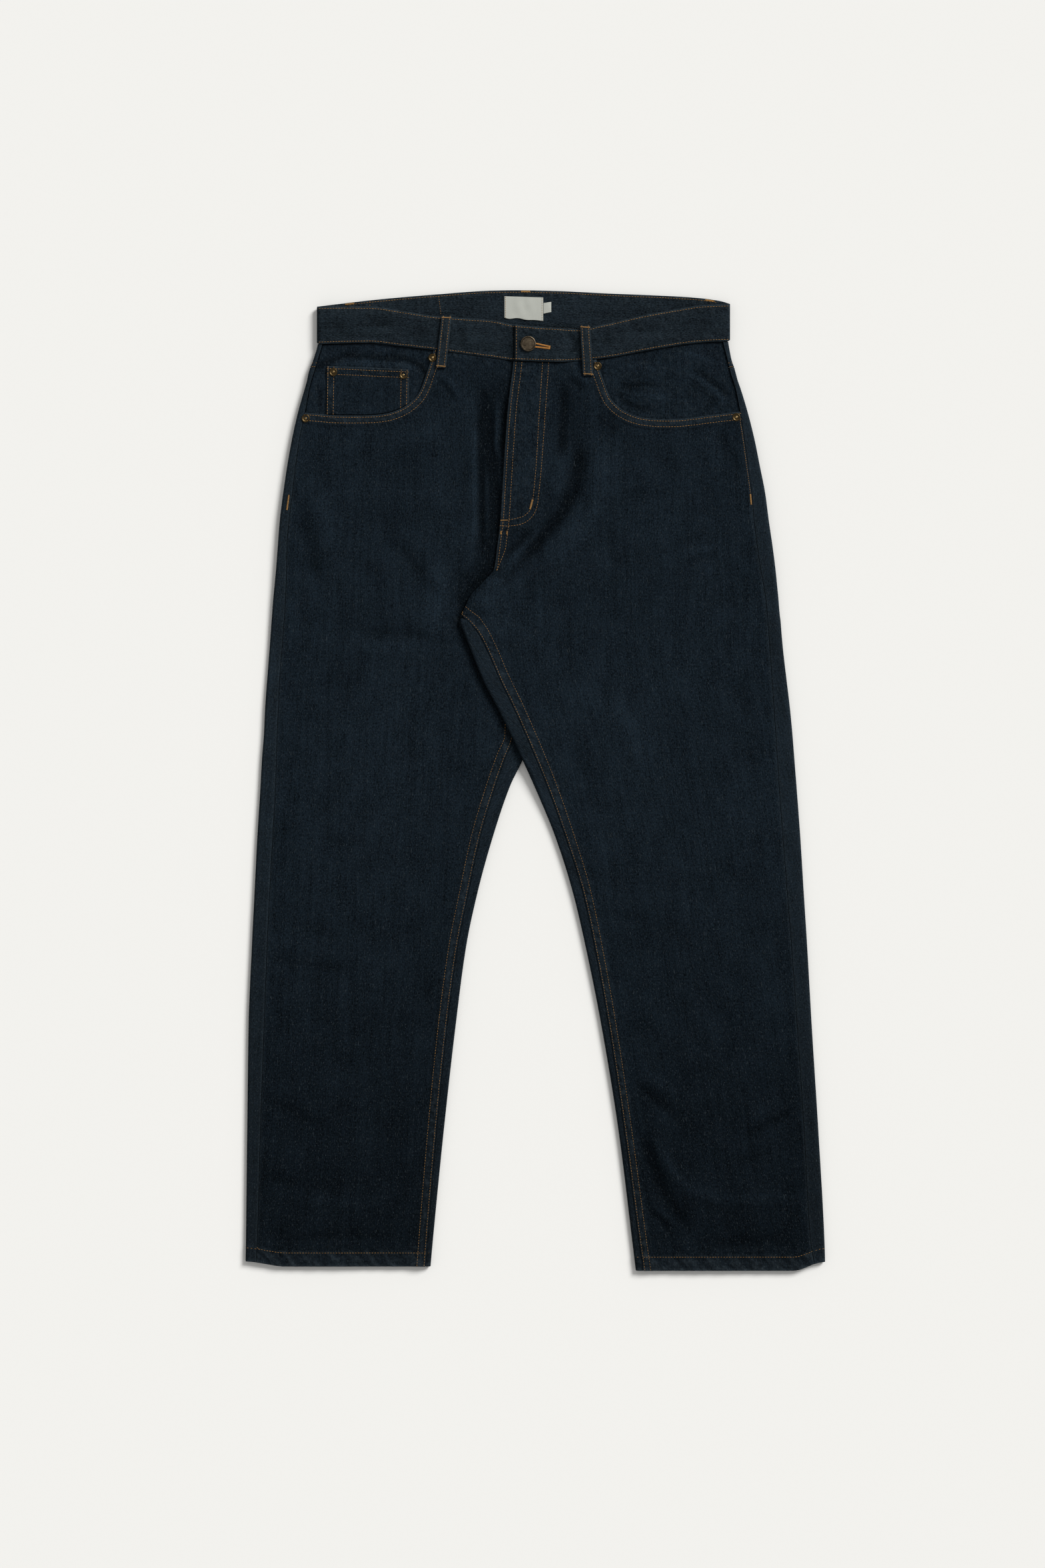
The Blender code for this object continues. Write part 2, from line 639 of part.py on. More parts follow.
def band_face(x, over):
    """Height of the front waistband's upper face; the end with the buttonhole lies over the other."""
    if not over:
        return BAND_TOP_Z
    lift = BAND_CLOTH + LAYER_GAP
    return BAND_TOP_Z + lift * smooth((BAND_UNDER_END_X + 34.0 - x) / 30.0)


def band_stations():
    """Outer-face stations (x, y_low, y_high, z) once round the waistband."""
    radius = (BAND_TOP_Z - SEAT_LIFT) / 2
    right_turn, left_turn = BAND_RIGHT_X + radius, BAND_LEFT_X - radius

    def on_front(x, over):
        return (x, BAND.read("front_bottom", x), BAND.read("front_top", x), band_face(x, over))

    def on_back(x):
        top = BAND.read("back_top", x)
        return (x, top - BAND_HEIGHT, top, SEAT_LIFT)

    def turn(start, end, centre, away, steps=5):
        stations = []
        for i in range(1, steps):
            angle = math.pi * i / steps
            share = i / steps
            first_z, last_z = start[3], end[3]
            up = (first_z + last_z) / 2 + (first_z - last_z) / 2 * math.cos(angle)
            stations.append((centre + away * radius * math.sin(angle),
                             mix(start[1], end[1], share), mix(start[2], end[2], share), up))
        return stations

    front_right = [on_front(mix(BAND_UNDER_END_X, right_turn, i / 14), False) for i in range(15)]
    back = [on_back(mix(right_turn, left_turn, i / 18)) for i in range(19)]
    front_left = [on_front(mix(left_turn, BAND_OVER_END_X, i / 18), True) for i in range(19)]
    return (front_right + turn(front_right[-1], back[0], right_turn, -1) + back
            + turn(back[-1], front_left[0], left_turn, 1) + front_left)


def build_waistband(material):
    """One folded strip once round the waist, its left end lapped over its right end."""
    stations = band_stations()
    outer, inner = [], []
    for share in (0.0, 1.0):
        row = [(x, mix(low, high, share), z) for x, low, high, z in stations]
        outer.append(row)
        inner.append(offset_row(row, [BAND_CLOTH] * len(row), RIGHT))
    return wall_between("waistband", outer, inner, material)


def strip_over(name, centre_line, width, heights, wall, material):
    """A narrow strip along a line of (x, y) with its underside at the given heights."""
    under, upper = [], []
    for (x, y), z in zip(centre_line, heights):
        under.append([(x - width / 2, y, z), (x + width / 2, y, z)])
        upper.append([(x - width / 2, y, z + wall), (x + width / 2, y, z + wall)])
    return wall_between(name, upper, under, material)


FRONT_LOOPS = {RIGHT: ((-96.2, 504.6), (-102.6, 448.2)), LEFT: ((54.2, 494.2), (57.6, 439.7))}


def build_front_loop(side, material):
    """A belt loop over the front waistband, down to just below its seam."""
    (top_x, top_y), (low_x, low_y) = FRONT_LOOPS[side]
    count = 9
    line, heights = [], []
    for i in range(count):
        share = i / (count - 1)
        x, y = mix(top_x, low_x, share), mix(top_y, low_y, share)
        seam_y = BAND.read("front_bottom", x)
        nearby = [x - LOOP_WIDTH / 2, x, x + LOOP_WIDTH / 2]
        on_band = max(band_face(n, side == LEFT) for n in nearby)
        on_front = max(upper_face(side, n, y) for n in nearby)
        rest = mix(on_front, on_band, smooth((y - seam_y + 6.0) / 6.0))
        line.append((x, y))
        heights.append(max(rest, on_front) + LAYER_GAP + 0.5 * math.sin(math.pi * share))
    return strip_over("belt_loop_front_" + side_name(side), line, LOOP_WIDTH, heights,
                      LOOP_CLOTH, material)


BACK_LOOPS = {"right": -201.9, "centre": -10.5, "left": 190.2}


def build_back_loop(name, x, material):
    """A belt loop under the back waistband."""
    top = BAND.read("back_top", x) - 0.5
    line = [(x, top - LOOP_LENGTH * i / 4) for i in range(5)]
    return strip_over("belt_loop_back_" + name, line, LOOP_WIDTH, [0.0] * 5, PATCH_CLOTH, material)


# ---- pockets --------------------------------------------------------------------------------------

def facing_face(side, x, y):
    """Upper face of a pocket facing: one layer below the front."""
    return upper_face(side, x, y) - CLOTH - FACING_DROP


def build_facing(side, material):
    """The denim that shows in a front pocket's mouth; it runs on below the front's edge."""
    inner_x = POCKET_EDGES[side][0][0] - side * 11.0
    columns, rows = 12, 7
    outer = []
    for r in range(rows):
        row = []
        for c in range(columns):
            share = c / (columns - 1)
            x = mix(inner_x, outseam(side, 430.0), share)
            high = BAND.read("front_bottom", x) - SEAM_GAP
            y = mix(382.0, high, r / (rows - 1))
            x = mix(inner_x, outseam(side, y) - side * SEAM_GAP, share)
            row.append((x, y, facing_face(side, x, y)))
        outer.append(row)
    inner = [offset_row(row, [CLOTH] * columns, side) for row in outer]
    return wall_between("pocket_facing_" + side_name(side), outer, inner, material)


COIN_POCKET = {"outer_x": -226.7, "inner_x": -137.4, "outer_y": 450.6, "inner_y": 446.6}


def coin_face(x, y):
    """Upper face of the coin pocket."""
    return facing_face(RIGHT, x, y) + 0.3 + PATCH_CLOTH


def build_coin_pocket(material):
    """The small patch on the right facing, down to the edge of the pocket mouth."""
    pocket = COIN_POCKET
    columns, rows = 13, 5
    upper, under = [], []
    for r in range(rows):
        upper_row, under_row = [], []
        for c in range(columns):
            share = c / (columns - 1)
            x = mix(pocket["inner_x"], pocket["outer_x"], share)
            high = mix(pocket["inner_y"], pocket["outer_y"], share)
            y = mix(pocket_level(RIGHT, x) + 1.0, high, r / (rows - 1))
            z = coin_face(x, y)
            upper_row.append((x, y, z))
            under_row.append((x, y, z - PATCH_CLOTH))
        upper.append(upper_row)
        under.append(under_row)
    return wall_between("coin_pocket", upper, under, material)


def build_seat_pocket(side, material):
    """A plain five-cornered patch pocket below the seat, which lies on it."""
    centre_x = -13.0 + side * 97.0
    outline = [(centre_x + side * dx, y) for dx, y in
               ((-75, 408), (-68, 262), (0, 238), (68, 268), (77, 414))]
    return flat_patch("back_pocket_" + side_name(side), outline, 0.0, PATCH_CLOTH, material)


def build_fly_shield(material):
    """The strip behind the fly, sewn to the right front's edge."""
    rows, columns = 9, 4
    outer = []
    for r in range(rows):
        row = []
        for c in range(columns):
            y = mix(FLY_BOTTOM_Y + 4.0, 453.5, r / (rows - 1))
            edge = front_start(RIGHT, y)
            x = edge + SEAM_GAP + SHIELD_WIDTH * c / (columns - 1)
            row.append((x, y, upper_face(RIGHT, edge, y) - 0.4))
        outer.append(row)
    inner = [[(x, y, z - CLOTH) for x, y, z in row] for row in outer]
    return wall_between("fly_shield", outer, inner, material)


# ---- metal and label --------------------------------------------------------------------------------

RIVETS = [
    # name                        x       y      carried by
    ("rivet_pocket_right_inner", -111.8, 459.4, "front_right"),
    ("rivet_pocket_right_outer", -249.6, 393.4, "front_right"),
    ("rivet_coin_outer", -219.7, 443.8, "coin"),
    ("rivet_coin_inner", -143.2, 440.8, "coin"),
    ("rivet_pocket_left_inner", 67.9, 450.4, "front_left"),
    ("rivet_pocket_left_outer", 218.8, 394.8, "front_left"),
]


def highest_near(height, x, y, radius):
    """Highest value of a height function round (x, y)."""
    ring = [(x + radius * math.cos(a), y + radius * math.sin(a))
            for a in [math.pi * k / 6 for k in range(12)]]
    return max(height(px, py) for px, py in ring + [(x, y)])


def build_rivets(material):
    """Domed rivet caps with a small nipple."""
    r = RIVET_RADIUS
    profile = [(0.0, 0.0), (r, 0.0), (r, 0.5), (0.86 * r, 1.0), (0.5 * r, 1.1), (0.34 * r, 1.1),
               (0.24 * r, 1.7), (0.0, 1.85)]
    heights = {
        "front_right": lambda x, y: upper_face(RIGHT, x, y),
        "front_left": lambda x, y: upper_face(LEFT, x, y),
        "coin": coin_face,
    }
    for name, x, y, carrier in RIVETS:
        z = highest_near(heights[carrier], x, y, r) + 0.3
        turned(name, profile, (x, y, z), 12, material)


def build_button(material):
    """The plain fly button, on its shank, through the waistband's buttonhole."""
    r = BUTTON_RADIUS
    profile = [(0.0, 0.0), (0.45 * r, 0.0), (0.4 * r, 0.9), (0.93 * r, 1.0), (r, 1.5), (r, 2.2),
               (0.93 * r, 2.7), (0.8 * r, 2.8), (0.76 * r, 2.5), (0.0, 2.7)]
    x, y = -7.6, 474.2
    turned("button", profile, (x, y, band_face(x, True) + 0.3), 24, material)


def build_labels(cloth):
    """The bare woven label and its bare size tab, inside the back waistband."""
    base = SEAT_LIFT + BAND_CLOTH + 0.3
    flat_patch("label", [(-33.5, 499.7), (8.7, 499.7), (8.7, 526.4), (-33.5, 526.4)],
               base, base + LABEL_CLOTH, cloth)
    flat_patch("size_tab", [(9.0, 507.9), (17.5, 507.9), (17.5, 520.5), (9.0, 520.5)],
               base, base + LABEL_CLOTH, cloth)


def build_jeans():
    """Build every piece."""
    denim = finish("denim", (0.016, 0.029, 0.052), 0.85)
    brass = finish("antique_brass", (0.30, 0.19, 0.09), 0.38, 1.0)
    woven = finish("label_cloth", (0.72, 0.76, 0.72), 0.8)
    for side in (RIGHT, LEFT):
        build_front(side, denim)
        build_back(side, denim)
        build_yoke(side, denim)
        build_facing(side, denim)
        build_seat_pocket(side, denim)
        build_front_loop(side, denim)
    build_waistband(denim)
    build_coin_pocket(denim)
    build_fly_shield(denim)
    for name, x in BACK_LOOPS.items():
        build_back_loop(name, x, denim)
    build_rivets(brass)
    build_button(brass)
    build_labels(woven)


for old in list(bpy.data.objects):
    bpy.data.objects.remove(old, do_unlink=True)
build_jeans()
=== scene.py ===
"""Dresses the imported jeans: dark indigo denim with tobacco stitching, laid flat, front up.

Sizes are in millimetres, as a pattern cutter writes them, and become metres in the meshes.  The
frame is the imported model's: the waist towards +Y, the wearer's left towards +X, the surface that
the jeans lie on at height 0.
"""

from __future__ import annotations

import functools
import logging
import math
from dataclasses import dataclass, field
from enum import Enum
from typing import Callable, Sequence

import bmesh
import bpy
import numpy as np
from bpy.types import Material, Mesh, Node, NodeSocket, Object
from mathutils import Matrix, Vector
from mathutils.bvhtree import BVHTree

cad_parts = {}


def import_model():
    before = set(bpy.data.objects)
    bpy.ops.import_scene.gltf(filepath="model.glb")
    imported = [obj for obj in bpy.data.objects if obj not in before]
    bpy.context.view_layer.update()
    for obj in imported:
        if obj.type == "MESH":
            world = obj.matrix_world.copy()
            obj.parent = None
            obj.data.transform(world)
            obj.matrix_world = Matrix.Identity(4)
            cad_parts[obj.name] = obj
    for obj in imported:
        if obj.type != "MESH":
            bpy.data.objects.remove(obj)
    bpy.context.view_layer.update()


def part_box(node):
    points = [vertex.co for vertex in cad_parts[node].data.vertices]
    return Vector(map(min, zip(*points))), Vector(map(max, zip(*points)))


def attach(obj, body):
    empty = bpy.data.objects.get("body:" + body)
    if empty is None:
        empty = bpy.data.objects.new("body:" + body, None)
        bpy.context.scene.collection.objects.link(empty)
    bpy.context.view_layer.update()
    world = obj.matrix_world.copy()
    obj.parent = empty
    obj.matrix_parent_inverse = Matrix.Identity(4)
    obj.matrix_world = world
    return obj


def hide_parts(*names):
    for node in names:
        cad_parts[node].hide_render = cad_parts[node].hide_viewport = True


MM = 0.001
LOG = logging.getLogger("jeans")
Array = np.ndarray
Path = Sequence[tuple[float, float]]
Colour = tuple[float, float, float]
Cut = tuple[float, float, float]


class Side(Enum):
    """The wearer's sides, as the sign of X."""

    RIGHT = -1
    LEFT = 1

    @property
    def word(self) -> str:
        """The side as a word for names."""
        return self.name.lower()


RIGHT, LEFT = Side.RIGHT, Side.LEFT


# ---- small geometry ----

def as_points(*values: Array) -> Array:
    """Rows of points from their coordinates."""
    return np.stack(values, axis=1)


def unit_steps(count: int) -> Array:
    """Even steps from 0 to 1."""
    return np.linspace(0.0, 1.0, count)


def bell(value: Array, width: float) -> Array:
    """1 at zero, dying away on both sides."""
    return np.exp(-(value / width) ** 2)


def decay(value: Array, width: float) -> Array:
    """1 at zero, dying away upwards."""
    return np.exp(-value / width)


def ease(value: Array | float) -> Array:
    """Ease from 0 to 1 as value goes from 0 to 1."""
    value = np.clip(value, 0.0, 1.0)
    return value * value * (3.0 - 2.0 * value)


def mix(first: Array | float, second: Array | float, share: Array | float) -> Array:
    """Value between first and second."""
    return first + (second - first) * share


def smooth_path(points: Path | Array, count: int) -> Array:
    """Evenly spread points on a smooth curve through a few given ones.

    Args:
        points: The points to pass through, in the plane or in space.
        count: How many points to return.

    Returns:
        An array of count points.
    """
    knots = np.array(points, float)
    knots = np.vstack([2 * knots[0] - knots[1], knots, 2 * knots[-1] - knots[-2]])
    t = (np.arange(16) / 16)[:, None]
    parts = []
    for a, b, c, d in zip(knots, knots[1:], knots[2:], knots[3:]):
        parts.append(0.5 * (2 * b + (c - a) * t + (2 * a - 5 * b + 4 * c - d) * t ** 2
                            + (3 * b - a - 3 * c + d) * t ** 3))
    return spread_evenly(np.vstack([*parts, knots[-2]]), count)


def spread_evenly(points: Array, count: int) -> Array:
    """Place count points at even distances along a polyline."""
    runs = np.concatenate([[0.0], np.cumsum(np.linalg.norm(np.diff(points, axis=0), axis=1))])
    wanted = np.linspace(0.0, runs[-1], count)
    return np.stack([np.interp(wanted, runs, column) for column in points.T], axis=1)


def along_path(x: Array, y: Array, path: Path | Array) -> tuple[Array, Array, float]:
    """Nearest distance to a polyline and where along it.

    Args:
        x: Places across.
        y: Places along.
        path: The polyline.

    Returns:
        The distances, the run along the path at the nearest point, and the path's whole run.
    """
    x, y = np.broadcast_arrays(np.asarray(x, float), np.asarray(y, float))
    nearest, place, run = np.full(x.shape, 1e9), np.zeros(x.shape), 0.0
    for (ax, ay), (bx, by) in zip(path, path[1:]):
        length = math.hypot(bx - ax, by - ay)
        t = np.clip(((x - ax) * (bx - ax) + (y - ay) * (by - ay)) / length ** 2, 0.0, 1.0)
        distance = np.hypot(x - mix(ax, bx, t), y - mix(ay, by, t))
        closer = distance < nearest
        nearest = np.where(closer, distance, nearest)
        place = np.where(closer, run + t * length, place)
        run += length
    return nearest, place, run


def ripple(x: Array, y: Array, length: float, seed: int) -> Array:
    """Uneven shallow waves of about one length, between -1 and 1."""
    chance = np.random.default_rng(seed)
    total = 0.0
    for _ in range(9):
        turn, phase = chance.uniform(0, math.pi), chance.uniform(0, 2 * math.pi)
        step = 2 * math.pi / (length * chance.uniform(0.7, 1.9))
        total = total + np.sin((x * math.cos(turn) + y * math.sin(turn)) * step + phase)
    return total / 4.5


class SizeTable:
    """Sizes in rows with named columns, read between rows on a curve that never overshoots."""

    def __init__(self, columns: str, rows: Sequence[tuple[float, ...]]) -> None:
        """Sort the rows and find each column's slopes."""
        table = np.array(sorted(rows), float)
        self.at = table[:, 0]
        self.columns = {name: table[:, i] for i, name in enumerate(columns.split())}
        self.slopes = {name: self.find_slopes(values) for name, values in self.columns.items()}

    def find_slopes(self, values: Array) -> Array:
        """Slope at each row: the harmonic mean of its neighbours, or 0 at a turn."""
        steps = np.diff(values) / np.diff(self.at)
        before, after = steps[:-1], steps[1:]
        total = np.where(before + after == 0, 1.0, before + after)
        inside = np.where(before * after > 0, 2 * before * after / total, 0.0)
        return np.concatenate([steps[:1], inside, steps[-1:]])

    def read(self, name: str, place: Array | float) -> Array:
        """The named column at a place; past the ends the last slope goes on."""
        values, slopes, at = self.columns[name], self.slopes[name], self.at
        place = np.asarray(place, float)
        row = np.clip(np.searchsorted(at, place, side="right") - 1, 0, len(at) - 2)
        step = at[row + 1] - at[row]
        t = np.clip((place - at[row]) / step, 0.0, 1.0)
        curve = ((1 + 2 * t) * (1 - t) ** 2 * values[row] + t * (1 - t) ** 2 * step * slopes[row]
                 + t * t * (3 - 2 * t) * values[row + 1] + t * t * (t - 1) * step * slopes[row + 1])
        low, high = place - at[0], place - at[-1]
        return curve + np.where(low < 0, slopes[0] * low, 0) + np.where(high > 0, slopes[-1] * high, 0)


# ---- the pattern as it lies ----

# Seams and outline from the waist to the crotch: x at each height y.
HIP = SizeTable(
    "y    outer_right outseam_right rise centre_back outseam_left outer_left", [
        (494, -236.0, -231.0, -21.0, -12.0, 202.0, 208.0),
        (476, -236.6, -231.6, -22.5, -12.0, 204.5, 210.3),
        (458, -241.3, -236.3, -23.5, -12.5, 209.0, 213.6),
        (443, -245.8, -240.8, -25.0, -12.8, 212.5, 217.4),
        (428, -250.3, -245.3, -27.0, -13.0, 217.5, 223.0),
        (400, -258.3, -250.5, -30.2, -14.0, 223.0, 231.5),
        (370, -265.0, -256.8, -32.3, -15.0, 227.8, 239.0),
        (341, -270.1, -261.0, -34.2, -17.0, 231.7, 244.8),
        (312, -274.4, -264.3, -35.9, -20.0, 235.6, 250.5),
        (283, -278.0, -268.0, -37.8, -23.0, 238.0, 254.3),
        (255, -280.2, -270.2, -41.2, -29.0, 241.5, 258.4),
        (231, -282.0, -270.8, -44.5, -38.5, 245.0, 261.5),
        (215, -283.5, -271.2, -57.5, -50.0, 248.0, 263.2),
        (200, -285.0, -271.8, -71.2, -62.0, 250.5, 264.7),
        (189, -285.9, -272.4, -76.3, -71.5, 251.8, 265.6),
        (179, -286.6, -273.0, -80.6, -80.2, 252.8, 266.5)])

# The legs below the crotch.  Above y = 22 the right leg's inner edge lies under the left leg.
LEGS = {
    RIGHT: SizeTable("y outer outseam inseam inner", [
        (179, -286.6, -273.0, -81.0, -80.5), (172, -287.2, -273.6, -77.0, -68.0),
        (160, -288.0, -274.5, -68.0, -50.0), (140, -289.5, -276.0, -50.0, -29.0),
        (110, -291.8, -278.3, -31.0, -10.0), (80, -294.0, -279.7, -23.0, -3.0),
        (50, -295.4, -281.0, -23.5, -4.0), (22, -297.6, -282.0, -33.5, -13.8),
        (-6, -299.1, -282.8, -43.4, -27.2), (-64, -302.7, -286.0, -60.5, -46.8),
        (-122, -305.6, -289.2, -72.8, -62.7), (-180, -308.5, -292.0, -84.3, -75.0),
        (-267, -312.1, -295.2, -96.0, -86.6), (-383, -313.6, -299.3, -107.6, -99.7),
        (-500, -315.0, -302.6, -117.2, -111.3), (-530, -315.5, -304.0, -119.4, -114.0)]),
    LEFT: SizeTable("y outer outseam inseam inner", [
        (179, 266.5, 252.8, -80.4, -80.6), (174, 267.2, 253.2, -74.0, -81.9),
        (160, 268.3, 254.2, -62.0, -77.5), (140, 270.2, 255.6, -51.5, -69.5),
        (110, 273.7, 257.7, -38.5, -57.5), (80, 277.3, 259.8, -24.0, -41.8),
        (50, 280.2, 261.8, -10.5, -27.0), (22, 282.4, 263.7, 1.5, -13.8),
        (-6, 284.6, 265.4, 12.9, -1.1), (-64, 288.9, 269.7, 33.8, 22.8),
        (-122, 292.5, 274.3, 51.9, 41.0), (-180, 296.2, 278.9, 64.5, 54.7),
        (-267, 301.2, 285.1, 80.0, 72.1), (-383, 308.5, 292.8, 97.3, 91.0),
        (-500, 315.0, 299.5, 112.9, 105.5), (-533, 316.0, 305.0, 117.6, 109.5)]),
}

# Edges of the waistband: y at each x.
BAND = SizeTable("x front_top front_bottom back_top", [
    (-238, 514.9, 474.2, 515.4), (-213, 515.3, 474.9, 518.4), (-180, 515.2, 475.5, 522.3),
    (-149, 511.1, 472.3, 525.3), (-107, 504.6, 467.4, 528.8), (-47, 500.3, 459.4, 532.9),
    (-22, 495.2, 456.2, 533.3), (26, 491.6, 454.7, 532.4), (48, 490.8, 456.0, 531.4),
    (74, 495.6, 458.6, 530.0), (118, 505.7, 466.5, 528.2), (158, 512.9, 473.3, 526.3),
    (181, 516.5, 476.0, 524.5), (203, 517.5, 477.0, 521.2), (212, 517.7, 477.1, 518.4)])

# Pocket openings, from the waistband seam round to the side seam.
POCKET_EDGES = {
    RIGHT: [(-110.5, 467.2), (-116.4, 447.3), (-129.4, 416.9), (-158.4, 399.5),
            (-207.0, 396.6), (-250.3, 399.5)],
    LEFT: [(66.3, 457.8), (73.5, 436.5), (85.2, 411.1), (110.6, 395.9),
           (150.2, 392.6), (195.4, 397.5), (222.6, 400.8)],
}
POCKET_LINES = {side: smooth_path(path, 60) for side, path in POCKET_EDGES.items()}


@dataclass(frozen=True)
class Fold:
    """A ridge (height > 0) or a trough (height < 0) that dies away at both ends of its path."""

    height: float
    half_width: float
    ends: float
    path: Path

    def heights(self, x: Array, y: Array) -> Array:
        """Height of the fold at each place."""
        nearest, place, run = along_path(x, y, self.path)
        ends = ease(np.minimum(place, run - place) / (self.ends * run))
        return self.height * ends * bell(nearest, self.half_width)


def read_folds(table: str) -> list[Fold]:
    """Folds parted by semicolons: height, half width, share that fades, and the path as x,y."""
    rows = [row.split() for row in table.split(";")]
    return [Fold(*map(float, row[:3]), [tuple(map(float, point.split(","))) for point in row[3:]])
            for row in rows]


# Creases of the fronts, and a few of the shallow swells down the legs.  On the right they begin with
# the slack beside the fly: a deep trough, and a sharp second one against the fly's edge.  On the left
# they begin with the troughs that swing round the fly's stitching and the swells between them.
FOLDS = {
    RIGHT: read_folds("""
        -2.2 17 0.1 -46,452 -50,410 -50,360 -50,310 -51,270 -60,232 -78,204 -92,180;
        -3.8 4.2 0.12 -64,434 -55,415 -52,390 -52,368 -48,348 -45,325 -45,290 -45,262 -47,238 -57,218
            -72,200 -86,182;
        3 6.5 0.3 -76,430 -70,405 -68,370 -67,340 -67,300 -67,265 -70,240 -82,215;
        -2.6 3.6 0.15 -60,418 -59,390 -60,360 -60,330 -60,300 -59,270 -57,244;
        1.3 3 0.3 -52,350 -53,320 -52,290 -52,262;
        1.9 2.8 0.3 -42,420 -42,390 -43,365 -42,345;
        -2.4 3.2 0.3 -33,425 -34,400 -36,370 -38,348;
        2.2 13 0.3 -96,240 -108,212 -118,180 -112,140;
        -1.4 7 0.3 -168,268 -142,246 -118,214 -98,190;
        -1.5 9 0.3 -262,322 -254,285 -244,250 -238,200;
        1.4 11 0.3 -240,320 -230,275 -222,225;
        -1.3 2.6 0.3 -110,437 -98,428 -86,410;
        1.2 3.4 0.3 -104,442 -92,432 -80,412;
        -1.5 7 0.3 -200,163 -170,160 -130,158 -95,152;
        1.3 10 0.3 -205,145 -170,140 -125,142;
        -0.9 7 0.3 -240,-64 -210,-68 -180,-66;
        -1.2 6 0.3 -300,-186 -260,-200 -215,-205 -185,-204;
        0.9 8 0.3 -290,-170 -250,-182 -200,-188;
        -1.1 6 0.3 -296,-346 -265,-360 -235,-376;
        -1.1 6 0.3 -306,-428 -260,-440 -210,-446;
        1 7 0.3 -300,-444 -250,-458 -190,-462 -150,-458;
        -1.5 6 0.3 -306,-492 -262,-499 -205,-494 -150,-498 -126,-494"""),
    LEFT: read_folds("""
        -1.6 16 0.15 36,448 38,400 38,350 30,308 8,276 -20,254 -38,238;
        -2.6 4.5 0.2 27,436 31,412 29,385 28,360 29,338;
        -3 6.5 0.2 50,372 48,345 43,318 32,294 17,275 -1,254 -14,238;
        -2 4 0.3 2,275 -14,262 -30,246 -38,230;
        -2 5.5 0.3 8,262 -8,244 -24,226 -38,212;
        2 4.5 0.3 14,282 -8,260 -24,243 -38,226;
        2.3 8 0.3 36,372 28,345 24,318 16,300;
        2.6 13 0.3 70,392 68,345 62,305 44,270 14,240 -8,222;
        2.4 10 0.3 -36,220 -52,204 -70,188;
        -1.2 5 0.3 -14,222 -6,205 -2,186;
        -1.3 9 0.3 60,396 76,386 94,376;
        1.3 4 0.3 38,446 48,438 64,428;
        -1.3 3.4 0.3 34,440 44,430 58,424;
        -1.5 6 0.3 197,394 202,372 216,348 226,322;
        1.2 8 0.3 184,384 192,356 204,330;
        -1.1 10 0.3 90,314 120,308 152,314;
        -1.2 4 0.3 146,232 176,238 206,248;
        0.9 5 0.3 150,243 180,249 208,258;
        1.2 20 0.3 40,120 95,60 120,-20;
        -0.9 8 0.3 76,-144 96,-150 116,-150;
        -2.1 5 0.3 104,-326 122,-340 140,-356 158,-368;
        1.6 7 0.3 112,-312 132,-328 156,-348;
        -2.8 7 0.2 116,-380 124,-410 136,-440 152,-468 172,-492;
        2.4 6.5 0.2 122,-376 134,-400 146,-425 166,-448 200,-458 240,-458 288,-452;
        -1.8 4.5 0.3 220,-390 238,-382 258,-372 284,-356;
        1.2 6 0.3 214,-376 236,-366 262,-352;
        -1.4 5 0.3 214,-412 230,-414 248,-408;
        -1.3 5 0.3 262,-446 278,-448 296,-440;
        -1.7 2.8 0.3 120,-466 134,-478 150,-492;
        1.3 2.4 0.3 124,-460 140,-473 158,-488;
        -1.4 6 0.3 170,-500 210,-504 250,-500 300,-502"""),
}

# Creases of the pocket facings, which show in the pocket mouths only.
FACING_FOLDS = {
    RIGHT: read_folds("""
        -1.3 3.6 0.1 -245,440 -232,453 -206,462 -168,459 -140,458 -122,449 -117,436 -126,418;
        1.8 5 0.3 -228,446 -200,452 -160,450 -134,446 -130,430;
        -1.1 3 0.3 -240,436 -234,420 -236,402"""),
    LEFT: read_folds("""
        -1.3 3.2 0.3 168,448 182,442 196,430 218,412;
        2 4 0.3 160,442 178,434 196,420 210,408;
        -1.2 2.8 0.3 193,426 194,412 192,400;
        1.4 3.2 0.3 92,447 112,450 134,445;
        -1.2 3 0.3 86,436 100,428 124,431 146,427;
        1.5 3.4 0.3 98,419 122,416 150,414;
        -1.1 3 0.3 84,428 96,412 114,404 134,401;
        1.1 4 0.3 150,462 176,460 198,452"""),
}

# Small creases of the front waistband, most of them where the loops pull on it.
BAND_FOLDS = read_folds("""
    -0.8 3 0.4 -84,494 -78,482 -80,468;
    0.6 3.4 0.4 -76,496 -71,484 -72,470;
    -0.6 4 0.4 -130,502 -124,490 -128,476;
    -0.6 4.5 0.4 -188,508 -172,500 -150,496;
    0.5 4 0.4 -196,492 -170,488 -146,486;
    -0.5 3 0.4 -222,500 -212,490 -210,480;
    -0.9 3 0.4 38,488 44,476 42,462;
    0.6 3.2 0.4 30,486 34,474 31,462;
    -0.7 3.4 0.4 72,492 78,482 74,466;
    -0.5 4 0.4 96,494 120,490 146,496;
    0.5 4 0.4 92,484 122,479 152,486;
    -0.6 3.4 0.4 176,508 184,496 182,484""")


